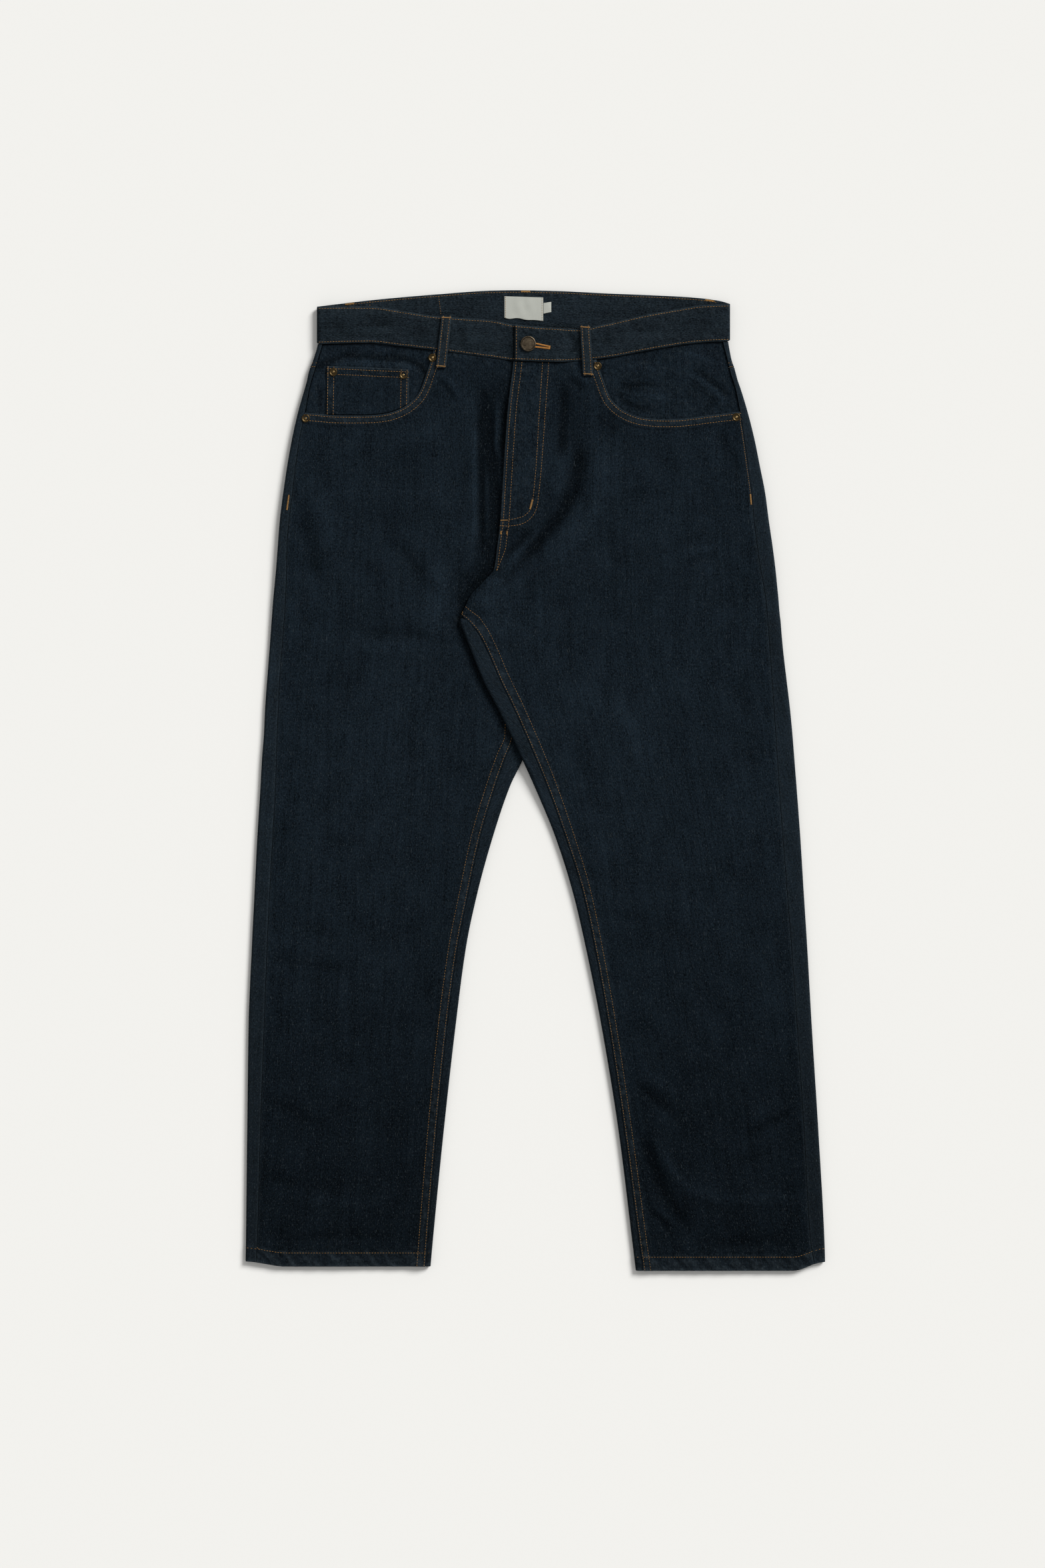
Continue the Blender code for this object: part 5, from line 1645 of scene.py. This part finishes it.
@dataclass
class SeamPlan:
    """Where the stitches run on the jeans."""

    work: Needlework
    band: Waistband
    loops: BeltLoops
    near: float = 1.7
    band_inset: float = 2.1
    # The two rows that hold the fly facing, from the waistband round the J to the fly's edge.
    fly_rows: tuple[Path, Path] = (
        ((8.0, 453.6), (4.4, 399.5), (0.9, 341.5), (-2.6, 305.2), (-5.2, 294.7), (-9.1, 289.8),
         (-14.4, 286.4), (-28.3, 283.0), (-37.0, 282.4)),
        ((14.7, 453.6), (10.9, 399.5), (6.8, 341.5), (3.6, 309.6), (2.0, 298.0), (-1.9, 288.6),
         (-9.1, 281.5), (-17.2, 278.0), (-28.3, 276.4), (-37.6, 276.6)))

    def offset(self, path: Array, inset: float) -> Array:
        """A line beside another one, inset towards the right hand of its direction."""
        along = np.gradient(path, axis=0)
        along /= np.linalg.norm(along, axis=1, keepdims=True)
        return path + inset * as_points(along[:, 1], -along[:, 0])

    def waistband(self) -> None:
        """Rows inside the band's edges, at its free end and along the back's top."""
        sew, piece = self.work.sew, "waistband_cloth"
        inset = self.band_inset
        for begin, finish in ((self.band.right_x + 3.0, self.band.over_end_x - 1.0),
                              (self.band.over_end_x + 1.6, self.band.left_x - 3.0)):
            x = np.linspace(begin, finish, 120)
            sew("waistband", Stitch.TOPSTITCH, piece, as_points(x, BAND.read("front_top", x) - inset))
            sew("waistband", Stitch.TOPSTITCH, piece, as_points(x, BAND.read("front_bottom", x) + inset))
        end_x = self.band.over_end_x + 1.8
        sew("waistband", Stitch.TOPSTITCH, piece,
            [(end_x, BAND.read("front_bottom", end_x) + inset),
             (end_x, BAND.read("front_top", end_x) - inset)])
        x = np.linspace(-204.0, 196.0, 120)
        sew("waistband", Stitch.TOPSTITCH, piece, as_points(x, BAND.read("back_top", x) - 2.2))
        sew("waistband", Stitch.FINE, piece, [(-105.0, 526.0), (-102.8, 508.0)])
        sew("waistband", Stitch.FINE, piece, [(-180.0, 521.0), (-180.0, 517.0)])
        for x in self.loops.back_x.values():
            y = float(BAND.read("back_top", x))
            slope = float(BAND.read("back_top", x + 4) - BAND.read("back_top", x - 4)) / 8
            self.work.tack("back_loop_tacks", piece, (x - 4.8, y - 1.3 - 4.8 * slope),
                           (x + 4.8, y - 1.3 + 4.8 * slope))

    def fly(self) -> None:
        """The two rows beside the fly's edge, the J, and its tacks."""
        piece = "front_panel_left"
        top = 454.0
        y = np.linspace(top, 229.0, 140)
        rise = HIP.read("rise", y)
        close = rise + mix(3.6, 3.0, ease((y - 229.0) / 12.0))
        wide = rise + mix(3.9, 9.3, ease((y - 229.0) / 26.0))
        for row in (close, wide):
            self.work.sew("fly", Stitch.TOPSTITCH, piece, as_points(row, y))
        for row in self.fly_rows:
            self.work.sew("fly", Stitch.TOPSTITCH, piece, smooth_path(row, 160))
        self.work.tack("fly_tacks", piece, (-2.9, 305.0), (-5.6, 294.8), Stitch.WIDE_TACK)
        for x in (-37.2, -30.6):
            self.work.tack("fly_tacks", piece, (x, 270.8), (x - 0.2, 267.6))
        self.work.tack("fly_tacks", piece, (-38.4, 282.6), (-30.0, 282.8), Stitch.SMALL_TACK)

    def pockets(self) -> None:
        """Two rows round each pocket mouth, and the coin pocket's rows."""
        for side in Side:
            line = self.pocket_line(side)
            for inset in (2.1, 8.2):
                row = self.offset(line, side.value * inset)
                below = row[:, 1] < BAND.read("front_bottom", row[:, 0]) - 0.8
                self.work.sew("pocket_" + side.word, Stitch.TOPSTITCH, "front_panel_" + side.word,
                              row[below])
        pocket = FrontPocket(RIGHT)
        (outer_x, outer_y), (inner_x, inner_y) = pocket.outer, pocket.inner
        for inset in (2.8, 8.8):
            self.work.sew("coin_pocket", Stitch.TOPSTITCH, "coin_pocket_cloth",
                          [(outer_x + 1.0, outer_y - inset), (inner_x - 1.0, inner_y - inset)])
        for x in (outer_x + 1.3, outer_x + 7.7, inner_x - 8.3, inner_x - 1.9):
            share = (x - inner_x) / (outer_x - inner_x)
            high = float(mix(inner_y, outer_y, share)) - 1.4
            self.work.sew("coin_pocket", Stitch.TOPSTITCH, "coin_pocket_cloth",
                          [(x, high), (x - 0.8, float(pocket.level(x)) + 1.6)])

    @staticmethod
    def pocket_line(side: Side) -> Array:
        """The pocket mouth from the waistband to the side seam, reaching a little past both."""
        line = POCKET_LINES[side]
        lead = 2 * line[0] - line[4]
        return np.vstack([lead, line])

    def loops_rows(self) -> None:
        """Two rows down each front loop, and its tacks."""
        for side in Side:
            piece = "belt_loop_" + side.word
            share = unit_steps(30)
            x, y = self.loops.centre_line(side, share)
            half = self.loops.width / 2
            for inset in (-half + 2.1, half - 2.1):
                self.work.sew("belt_loops", Stitch.TOPSTITCH, piece, as_points(x + inset, y))
            for end in (1, -2):
                self.work.tack("belt_loop_tacks", piece, (x[end] - half + 0.6, y[end] + 0.3),
                               (x[end] + half - 0.6, y[end] - 0.3), Stitch.SMALL_TACK)

    def legs(self) -> None:
        """Two rows along each inseam, one round each hem, and the side seams' short rows."""
        for side in Side:
            piece = "front_panel_" + side.word
            top = 96.0 if side is RIGHT else 188.0
            y = np.linspace(top, float(FORM.hem_line(side, side.value * 130.0)) + 1.5, 260)
            seam = LEGS[side].read("inseam", y)
            slant = np.hypot(1.0, np.gradient(seam, y))
            wide = 9.4 if side is RIGHT else mix(8.0, 10.4, ease((y + 200.0) / 260.0))
            for inset in (self.near, wide):
                self.work.sew("inseam_" + side.word, Stitch.SUNK, piece,
                              as_points(seam + side.value * inset * slant, y))
            level = FORM.hem_level(side)
            inner = float(LEGS[side].read("inner", level))
            seam_in = float(LEGS[side].read("inseam", level))
            seam_out = float(FORM.outseam(side, np.float64(level)))
            outer = float(FORM.outer_edge(side, np.float64(level)))
            up = FORM.hem_height - 1.9
            for carrier, begin, finish in (
                    (piece, seam_in + side.value * 0.6, seam_out - side.value * 0.6),
                    ("back_panel_" + side.word, inner + side.value * 2.0, seam_in - side.value * 0.6),
                    ("back_panel_" + side.word, seam_out + side.value * 0.6, outer - side.value * 2.6)):
                x = np.linspace(begin, finish, 60)
                self.work.sew("hem_" + side.word, Stitch.SUNK, carrier,
                              as_points(x, FORM.hem_line(side, x) + up))
            tack_y = np.array([311.0, 300.0]) if side is LEFT else np.array([310.0, 294.0])
            inset = side.value * (-1.6 if side is LEFT else 3.4)
            tack_x = FORM.outseam(side, tack_y) + inset
            carrier = piece if side is LEFT else "back_panel_right"
            self.work.tack("side_tacks", carrier, (tack_x[0], tack_y[0]), (tack_x[1], tack_y[1]))
        y = np.linspace(396.0, 311.0, 40)
        self.work.sew("side_seams", Stitch.FINE, "front_panel_left",
                      as_points(FORM.outseam(LEFT, y) - 1.6, y))
        for side in Side:
            y = np.array([447.6, 453.8])
            for level in y:
                x = FORM.outseam(side, level)
                edge = FORM.outer_edge(side, level)
                self.work.sew("side_seams", Stitch.FINE, "yoke_panel_" + side.word,
                              [(x + side.value * 0.8, level), (edge - side.value * 0.8, level)])

    def label(self) -> None:
        """Rows down both sides of the label."""
        tape = Label().label
        for x in (tape.box[0] + 1.2, tape.box[1] - 1.2):
            lower, upper = tape.edges(np.float64(x))
            self.work.sew("label", Stitch.FINE, "label_tape", [(x, lower + 1), (x, upper - 1)])

    def buttonhole(self) -> None:
        """The keyhole buttonhole: an eye below the button and a straight slit with a tack."""
        start, end = np.array([-7.6, 474.0]), np.array([15.6, 470.2])
        along = (end - start) / np.linalg.norm(end - start)
        across = np.array([-along[1], along[0]])
        turn = np.linspace(0.75 * math.pi, -0.75 * math.pi, 22)
        eye = start + 3.0 * (-np.cos(turn)[:, None] * along + np.sin(turn)[:, None] * across)
        upper, lower = end + 1.05 * across, end - 1.05 * across
        path = np.vstack([upper, eye, lower])
        self.work.sew("buttonhole", Stitch.BUTTONHOLE, "waistband_cloth", path, 0.2, 0.4)
        self.work.tack("buttonhole", "waistband_cloth", tuple(end + 1.7 * across),
                       tuple(end - 1.7 * across))

    def plan(self) -> None:
        """Lay every line."""
        for step in (self.waistband, self.fly, self.pockets, self.loops_rows, self.legs,
                     self.label, self.buttonhole):
            step()


# ---- metal ----

def turned(name: str, profile: Path, centre: tuple[float, float, float], segments: int,
           dish: tuple[float, float], material: Material) -> Object:
    """Spin a profile of (radius, height) round a standing axis.

    Args:
        name: The object's name.
        profile: Points from the lower axis to the upper axis, in millimetres.
        centre: The axis's foot in millimetres.
        segments: Steps once round.
        dish: Inner and outer radius of the ring where tarnish gathers.
        material: The finish.

    Returns:
        The closed piece.
    """
    work = bmesh.new()
    rings = []
    for radius, height in profile:
        turns = [0.0] if radius == 0 else [2 * math.pi * k / segments for k in range(segments)]
        rings.append([work.verts.new(((centre[0] + radius * math.cos(a)) * MM,
                                      (centre[1] + radius * math.sin(a)) * MM,
                                      (centre[2] + height) * MM)) for a in turns])
    for low, high in zip(rings, rings[1:]):
        for k in range(segments):
            n = (k + 1) % segments
            corners = [low[k % len(low)], low[n % len(low)], high[n % len(high)], high[k % len(high)]]
            work.faces.new(list(dict.fromkeys(corners)))
    bmesh.ops.recalc_face_normals(work, faces=work.faces)
    mesh = bpy.data.meshes.new(name)
    work.to_mesh(mesh)
    work.free()
    tarnish = mesh.attributes.new("hollow", "FLOAT", "POINT")
    radii = [math.hypot(v.co.x / MM - centre[0], v.co.y / MM - centre[1]) for v in mesh.vertices]
    tarnish.data.foreach_set("value", [float(dish[0] < r < dish[1]) for r in radii])
    mesh.materials.append(material)
    mesh.shade_smooth()
    mesh.set_sharp_from_angle(angle=math.radians(48))
    return place_mesh(name, mesh)


def rounded_profile(points: Path, steps: int = 4) -> list[tuple[float, float]]:
    """Round the corners of a profile by cutting each one in small steps."""
    line = np.array(points, float)
    for _ in range(steps // 2):
        cut = [line[0]]
        for a, b in zip(line, line[1:]):
            cut += [mix(a, b, 0.25), mix(a, b, 0.75)]
        line = np.array(cut + [line[-1]])
    return [(0.0 if i in (0, len(line) - 1) else float(r), float(z)) for i, (r, z) in enumerate(line)]


def build_rivet_tree() -> bpy.types.NodeTree:
    """Geometry Nodes that set one cap on every point, each turned a little differently."""
    tree, start = start_nodes("set_rivets", {"Cap": ("Object", None), "Seed": ("Int", 3),
                                             "Metal": ("Material", None)})
    cap = tree.add("GeometryNodeObjectInfo", {"Object": start["Cap"]}).outputs["Geometry"]
    spin = tree.add("FunctionNodeRandomValue", data_type="FLOAT_VECTOR")
    enabled(spin.inputs, "Min").default_value = (-0.03, -0.03, 0.0)
    enabled(spin.inputs, "Max").default_value = (0.03, 0.03, 6.28)
    tree.tree.links.new(start["Seed"], enabled(spin.inputs, "Seed"))
    laid = tree.add("GeometryNodeInstanceOnPoints",
                    {"Points": start["Geometry"], "Instance": cap,
                     "Rotation": enabled(spin.outputs, "Value")}).outputs[0]
    return finish_nodes(tree, laid, start["Metal"], False)


@dataclass
class Metalwork:
    """The button and the rivets."""

    button_radius: float = 8.4
    button_place: tuple[float, float] = (-7.6, 474.2)
    rivet_radius: float = 4.5
    rivets: dict[str, tuple[float, float]] = field(default_factory=lambda: {
        "rivet_pocket_right_inner": (-111.8, 459.4), "rivet_pocket_right_outer": (-249.6, 393.4),
        "rivet_coin_outer": (-219.7, 443.8), "rivet_coin_inner": (-143.2, 440.8),
        "rivet_pocket_left_inner": (67.9, 450.4), "rivet_pocket_left_outer": (218.8, 394.8)})

    def build_button(self, material: Material) -> Object:
        """Make the plain dished button on its shank."""
        r = self.button_radius
        profile = [(0.0, 0.0), (0.46 * r, 0.0), (0.42 * r, 0.9), (0.9 * r, 1.0), (0.985 * r, 1.25),
                   (r, 1.7), (r, 2.1), (0.975 * r, 2.55), (0.9 * r, 2.8), (0.84 * r, 2.78),
                   (0.8 * r, 2.55), (0.74 * r, 2.5), (0.5 * r, 2.66), (0.25 * r, 2.76), (0.0, 2.8)]
        centre = (*self.button_place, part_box("button")[0].z / MM)
        piece = turned("fly_button", rounded_profile(profile, 2), centre, 64,
                       (0.76 * r, 0.86 * r), material)
        return keep(piece, "button_metal", "button")

    def build_rivets(self, material: Material) -> Object:
        """Make every rivet cap: a flat dome with a nipple in its middle."""
        r = self.rivet_radius
        profile = [(0.0, 0.0), (r, 0.0), (1.02 * r, 0.35), (0.96 * r, 0.85), (0.86 * r, 1.1),
                   (0.74 * r, 0.95), (0.6 * r, 0.55), (0.4 * r, 0.45), (0.32 * r, 0.6),
                   (0.28 * r, 1.3), (0.2 * r, 1.6), (0.0, 1.7)]
        cap = turned("rivet_cap", rounded_profile(profile, 2), (0.0, 0.0, 0.0), 28,
                     (0.34 * r, 1.1 * r), material)
        places = [(x * MM, y * MM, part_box(name)[0].z) for name, (x, y) in self.rivets.items()]
        mesh = bpy.data.meshes.new("rivet_places")
        mesh.from_pydata(places, [], [])
        carrier = place_mesh("rivet_places", mesh)
        values = {"Cap": cap, "Seed": 3, "Metal": material}
        piece = evaluated(carrier, build_rivet_tree(), values, "rivet_caps")
        bpy.data.objects.remove(cap, do_unlink=True)
        return keep(piece, "rivet_metal", *self.rivets)


# ---- finishes ----

def shader_group(name: str, inputs: dict[str, tuple[str, object]], outputs: Sequence[str]
                 ) -> tuple[NodeTree, object]:
    """Start a shader node group with named sockets, and give the tree and its inputs."""
    tree = NodeTree(bpy.data.node_groups.new(name, "ShaderNodeTree"))
    for label, (kind, value) in inputs.items():
        tree.socket(label, kind, value)
    for label in outputs:
        tree.socket(label, "Float", out=True)
    return tree, tree.add("NodeGroupInput").outputs


def build_yarn_group() -> bpy.types.NodeTree:
    """Twill, slubs and specks of one cloth.

    Returns:
        A group that turns grain coordinates into a tone, a mask of pale specks and a height.
    """
    tree, start = shader_group("yarns", {"Grain": ("Vector", None), "Wale": ("Float", 1.25),
                                         "Slub": ("Float", 1.0), "Seed": ("Float", 0.0)},
                               ("Tone", "Specks", "Height"))
    grain = tree.scaled(start["Grain"], (1000.0,) * 3)

    def noise(across: float, along: float, detail: float, shift: float, rough: float = 0.55) -> NodeSocket:
        """Noise with its own sizes across and along the warp."""
        place = tree.scaled(grain, (1 / across, 1 / along, 1.0))
        seed = tree.math("ADD", start["Seed"], shift)
        return tree.add("ShaderNodeTexNoise",
                        {"Vector": place, "W": seed, "Scale": 1.0, "Detail": detail,
                         "Roughness": rough}, noise_dimensions="4D").outputs["Fac"]

    def yarn(*sizes: float) -> NodeSocket:
        """The same noise from -1 to 1."""
        return tree.spread(noise(*sizes), 0.3, 0.7, -1.0, 1.0)

    long_slub, short_slub = yarn(2.2, 55.0, 2.0, 0.0), yarn(1.0, 11.0, 2.0, 3.0)
    thread, cloud = yarn(0.55, 3.2, 1.0, 5.0), yarn(26.0, 34.0, 3.0, 9.0)
    weft, streak = yarn(7.0, 0.8, 1.0, 12.0), yarn(7.0, 150.0, 2.0, 15.0)
    speckle = yarn(1.5, 2.0, 1.0, 18.0)
    parts = tree.add("ShaderNodeSeparateXYZ", {0: grain}).outputs
    slope = tree.total((parts[0], 0.9), (parts[1], -0.45), (thread, 0.12))
    phase = tree.math("DIVIDE", tree.math("MULTIPLY", slope, 2 * math.pi), start["Wale"])
    twill = tree.math("SINE", phase)
    tone = tree.total((long_slub, 0.2), (short_slub, 0.26), (thread, 0.5), (speckle, 0.46),
                      (cloud, 0.24), (streak, 0.14), (weft, 0.16), (twill, 0.18))
    tone = tree.math("ADD", tree.math("MULTIPLY", tone, start["Slub"]), 1.0)
    pale = tree.spread(noise(0.8, 2.6, 1.0, 21.0, 0.7), 0.62, 0.72)
    dash = tree.spread(noise(1.1, 7.0, 1.0, 27.0), 0.64, 0.76, 0.0, 0.8)
    specks = tree.math("MULTIPLY", tree.math("MAXIMUM", pale, dash), start["Slub"])
    height = tree.math("ADD", tree.math("MULTIPLY", twill, 0.5),
                       tree.total((short_slub, 0.35), (thread, 0.5)))
    tree.add("NodeGroupOutput", {"Tone": tree.math("MAXIMUM", tone, 0.25), "Specks": specks,
                                 "Height": height})
    return tree.tree


def build_wear_group() -> bpy.types.NodeTree:
    """Worn edges and puckers.

    Returns:
        A group that breaks up the painted wear and makes the small waves beside a seam.
    """
    tree, start = shader_group("wear", {"Grain": ("Vector", None), "Edge": ("Float", 0.0),
                                        "Pucker": ("Float", 0.0)}, ("Worn", "Wave"))
    grain = tree.scaled(start["Grain"], (1000.0,) * 3)
    chafe = tree.spread(tree.noise(grain, 0.55, 3.0, 0.6), 0.3, 0.7, 0.35, 1.3)
    wave = tree.spread(tree.noise(grain, 0.16, 1.5, 0.4), 0.3, 0.7, -1.0, 1.0)
    wave = tree.math("MULTIPLY", wave, start["Pucker"])
    high = tree.math("MULTIPLY", tree.math("MAXIMUM", wave, 0.0), 0.25)
    worn = tree.math("ADD", tree.math("MULTIPLY", start["Edge"], chafe), high)
    tree.add("NodeGroupOutput", {"Worn": tree.math("MINIMUM", worn, 1.0), "Wave": wave})
    return tree.tree


def new_material(name: str) -> tuple[Material, NodeTree, Node]:
    """An empty node material with its tree and its Principled shader."""
    material = bpy.data.materials.new(name)
    material.use_nodes = True
    return material, NodeTree(material.node_tree), material.node_tree.nodes["Principled BSDF"]


@dataclass(frozen=True)
class DenimFinish:
    """Indigo denim: dark warp with pale weft specks, worn on edges and ridges, with painted shade from the
    mesh and a painted darkening towards the hems.
    """

    name: str
    yarns: bpy.types.NodeTree
    wear: bpy.types.NodeTree
    dye: Colour = (0.0063, 0.0106, 0.0152)
    speck: Colour = (0.040, 0.050, 0.056)
    worn: Colour = (0.042, 0.056, 0.066)
    slub: float = 1.0
    wale: float = 1.25
    painted_shade_at_hems: float = 0.51

    def build(self) -> Material:
        """Make the material."""
        material, tree, shader = new_material(self.name)
        grain = tree.grain()
        yarn = tree.add("ShaderNodeGroup", {"Grain": grain, "Slub": self.slub, "Wale": self.wale},
                        node_tree=self.yarns).outputs
        chafe = tree.add("ShaderNodeGroup", {"Grain": grain, "Edge": tree.painted("wear"),
                                             "Pucker": tree.painted("pucker")},
                         node_tree=self.wear).outputs
        # Painted shade: the tone darkens towards the hems, standing in for light that falls off down the
        # jeans.
        level = tree.add("ShaderNodeSeparateXYZ", {0: tree.place()}).outputs[1]
        fade = tree.spread(level, -0.53, 0.05, self.painted_shade_at_hems, interpolation_type="SMOOTHSTEP")
        # Painted shade from the mesh: darker in creases and painted shadows, lighter on ridges.
        shade = tree.math("SUBTRACT", 1.0, tree.math("MULTIPLY", tree.painted("hollow"), 0.5))
        tone = tree.math("MULTIPLY", tree.math("MULTIPLY", yarn["Tone"], fade), shade)
        flecked = tree.blend(tree.math("MULTIPLY", yarn["Specks"], 0.75), tree.scaled(self.dye, tone),
                             self.speck)
        worn = tree.blend(tree.math("MULTIPLY", chafe["Worn"], 0.62), flecked, self.worn)
        rough = tree.math("SUBTRACT", 0.95, tree.math("MULTIPLY", chafe["Worn"], 0.12))
        weave = tree.bump(0.7, 0.00012, yarn["Height"])
        tree.feed(shader, {"Base Color": worn, "Roughness": rough, "Specular IOR Level": 0.02,
                           "Normal": tree.bump(0.8, 0.0007, chafe["Wave"], Normal=weave)})
        return material


@dataclass(frozen=True)
class ThreadFinish:
    """Twisted tobacco thread."""

    name: str = "tobacco_thread"
    light: Colour = (0.385, 0.205, 0.058)
    dark: Colour = (0.165, 0.084, 0.023)

    def build(self) -> Material:
        """Make the material."""
        material, tree, shader = new_material(self.name)
        place = tree.place()
        ply = tree.noise(place, 1500.0, 2.0)
        share = tree.spread(tree.total((ply, 0.7), (tree.noise(place, 90.0, 1.0), 0.5)), 0.4, 0.8)
        tree.feed(shader, {"Base Color": tree.blend(share, self.dark, self.light),
                           "Roughness": 0.55, "Specular IOR Level": 0.35,
                           "Normal": tree.bump(0.6, 0.0001, ply)})
        return material


@dataclass(frozen=True)
class MetalFinish:
    """Tarnished metal with scratches and bright high spots."""

    name: str
    bright: Colour
    tarnish: Colour
    roughness: float = 0.38

    def build(self) -> Material:
        """Make the material."""
        material, tree, shader = new_material(self.name)
        place = tree.place()
        brush = tree.noise(tree.scaled(place, (260.0, 2600.0, 900.0)), 1.0, 2.0)
        share = tree.total((tree.noise(place, 420.0, 4.0), 0.75), (brush, 0.3))
        share = tree.spread(share, 0.36, 0.7)
        dull = tree.blend(tree.math("MULTIPLY", tree.painted("hollow"), 0.85),
                          tree.blend(share, self.tarnish, self.bright), [0.3 * c for c in self.tarnish])
        rough = tree.math("ADD", tree.math("MULTIPLY", brush, 0.18), self.roughness - 0.08)
        tree.feed(shader, {"Base Color": dull, "Metallic": 1.0, "Roughness": rough,
                           "Normal": tree.bump(0.35, 0.00006, share)})
        return material


@dataclass(frozen=True)
class TapeFinish:
    """Close woven label tape."""

    name: str = "woven_tape"
    light: Colour = (0.50, 0.51, 0.46)
    dark: Colour = (0.36, 0.37, 0.33)
    rib: float = 0.0005

    def build(self) -> Material:
        """Make the material."""
        material, tree, shader = new_material(self.name)
        grain = tree.grain()
        weave = tree.noise(tree.scaled(grain, (1800.0, 5200.0, 1.0)), 1.0, 1.0)
        along = tree.add("ShaderNodeSeparateXYZ", {0: grain}).outputs[1]
        rib = tree.math("SINE", tree.math("MULTIPLY", along, 2 * math.pi / self.rib))
        share = tree.spread(tree.math("ADD", weave, tree.math("MULTIPLY", rib, 0.12)), 0.3, 0.7)
        tree.feed(shader, {"Base Color": tree.blend(share, self.dark, self.light),
                           "Roughness": 0.7, "Specular IOR Level": 0.3,
                           "Normal": tree.bump(0.6, 0.0001, share)})
        return material


# ---- studio ----

@dataclass
class Studio:
    """A pale floor, soft light and a camera straight above, as the photo was taken."""

    lens: float = 100.0
    sensor: float = 36.0
    view_length: float = 1705.2
    centre: tuple[float, float] = (-13.8, -4.1)
    floor: Colour = (0.877, 0.869, 0.838)
    sky: float = 0.42
    key: float = 3.22
    key_from: Colour = (0.62, 0.60, 0.62)
    key_softness: float = 24.0

    def build_floor(self) -> None:
        """Lay the floor just below the jeans."""
        half, low = 60.0, -0.0004
        mesh = bpy.data.meshes.new("floor")
        mesh.from_pydata([(-half, -half, low), (half, -half, low), (half, half, low),
                          (-half, half, low)], [], [(0, 1, 2, 3)])
        material, tree, shader = new_material("pale_floor")
        darker, lighter = ([share * c for c in self.floor] for share in (0.995, 1.005))
        colour = tree.blend(tree.noise(tree.place(), 300.0, 3.0), darker, lighter)
        tree.feed(shader, {"Base Color": colour, "Roughness": 0.95, "Specular IOR Level": 0.05})
        mesh.materials.append(material)
        place_mesh("floor", mesh)

    def build_lights(self) -> None:
        """A bright even sky and one soft key light from beyond the waist."""
        world = bpy.data.worlds.new("studio")
        world.use_nodes = True
        background = world.node_tree.nodes["Background"]
        background.inputs["Color"].default_value = (1.0, 1.0, 1.0, 1.0)
        background.inputs["Strength"].default_value = self.sky
        bpy.context.scene.world = world
        light = bpy.data.lights.new("soft_key", "SUN")
        light.energy, light.angle = self.key, math.radians(self.key_softness)
        lamp = bpy.data.objects.new("soft_key", light)
        lamp.location = Vector(self.key_from) * 3.0
        lamp.rotation_mode = "QUATERNION"
        lamp.rotation_quaternion = Vector(self.key_from).to_track_quat("Z", "Y")
        bpy.context.scene.collection.objects.link(lamp)

    def build_camera(self) -> None:
        """Hang the camera over the photo's centre at the photo's scale."""
        camera = bpy.data.cameras.new("photo_camera")
        camera.lens, camera.sensor_width, camera.sensor_fit = self.lens, self.sensor, "AUTO"
        camera.clip_end = 40.0
        piece = bpy.data.objects.new("photo_camera", camera)
        height = self.view_length * self.lens / self.sensor + 8.0
        piece.location = (self.centre[0] * MM, self.centre[1] * MM, height * MM)
        bpy.context.scene.collection.objects.link(piece)
        bpy.context.scene.camera = piece

    def build(self) -> None:
        """Set up the whole studio; plain sRGB keeps the photo's dark tones."""
        self.build_floor()
        self.build_lights()
        self.build_camera()
        bpy.context.scene.view_settings.view_transform = "Standard"


# ---- everything ----

def build_cloth(denim: Material, trim: Material,
                tape: Material) -> tuple[dict[str, Object], Waistband, BeltLoops]:
    """Make every cloth piece.

    Args:
        denim: The finish of the panels.
        trim: The finish of the waistband and loops.
        tape: The label's finish.

    Returns:
        The pieces by name, the waistband and the loops.
    """
    made = []
    for side in Side:
        back, pocket = Back(side), FrontPocket(side)
        made += [Front(side).build(denim), back.build(denim), back.build_yoke(denim),
                 back.build_seat_pocket(denim), pocket.build_facing(denim)]
    made.append(FrontPocket(RIGHT).build_coin_pocket(denim))
    made.append(build_fly_shield(denim))
    band = Waistband()
    made.append(band.build(trim))
    loops = BeltLoops(band)
    made += [loops.build_front(side, trim) for side in Side]
    made += [loops.build_back(word, x, trim) for word, x in loops.back_x.items()]
    made += Label().build(tape)
    return {piece.name: piece for piece in made}, band, loops


def main() -> None:
    """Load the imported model, dress it and set up the studio."""
    logging.basicConfig(level=logging.INFO, format="%(name)s: %(message)s")
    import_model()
    Studio().build()
    yarns, wear = build_yarn_group(), build_wear_group()
    denim = DenimFinish("indigo_denim", yarns, wear).build()
    trim = DenimFinish("indigo_denim_trim", yarns, wear, (0.0092, 0.0140, 0.0182)).build()
    brass = MetalFinish("antique_brass", (0.40, 0.28, 0.13), (0.10, 0.068, 0.030)).build()
    bronze = MetalFinish("brushed_bronze", (0.15, 0.118, 0.080), (0.050, 0.038, 0.026), 0.42).build()
    pieces, band, loops = build_cloth(denim, trim, TapeFinish().build())
    orange = ThreadFinish("orange_thread", (0.56, 0.25, 0.052), (0.26, 0.115, 0.024))
    work = Needlework(pieces, ThreadFinish().build(), orange.build())
    SeamPlan(work, band, loops).plan()
    work.build()
    metal = Metalwork()
    metal.build_button(bronze)
    metal.build_rivets(brass)


if __name__ == "__main__":
    main()
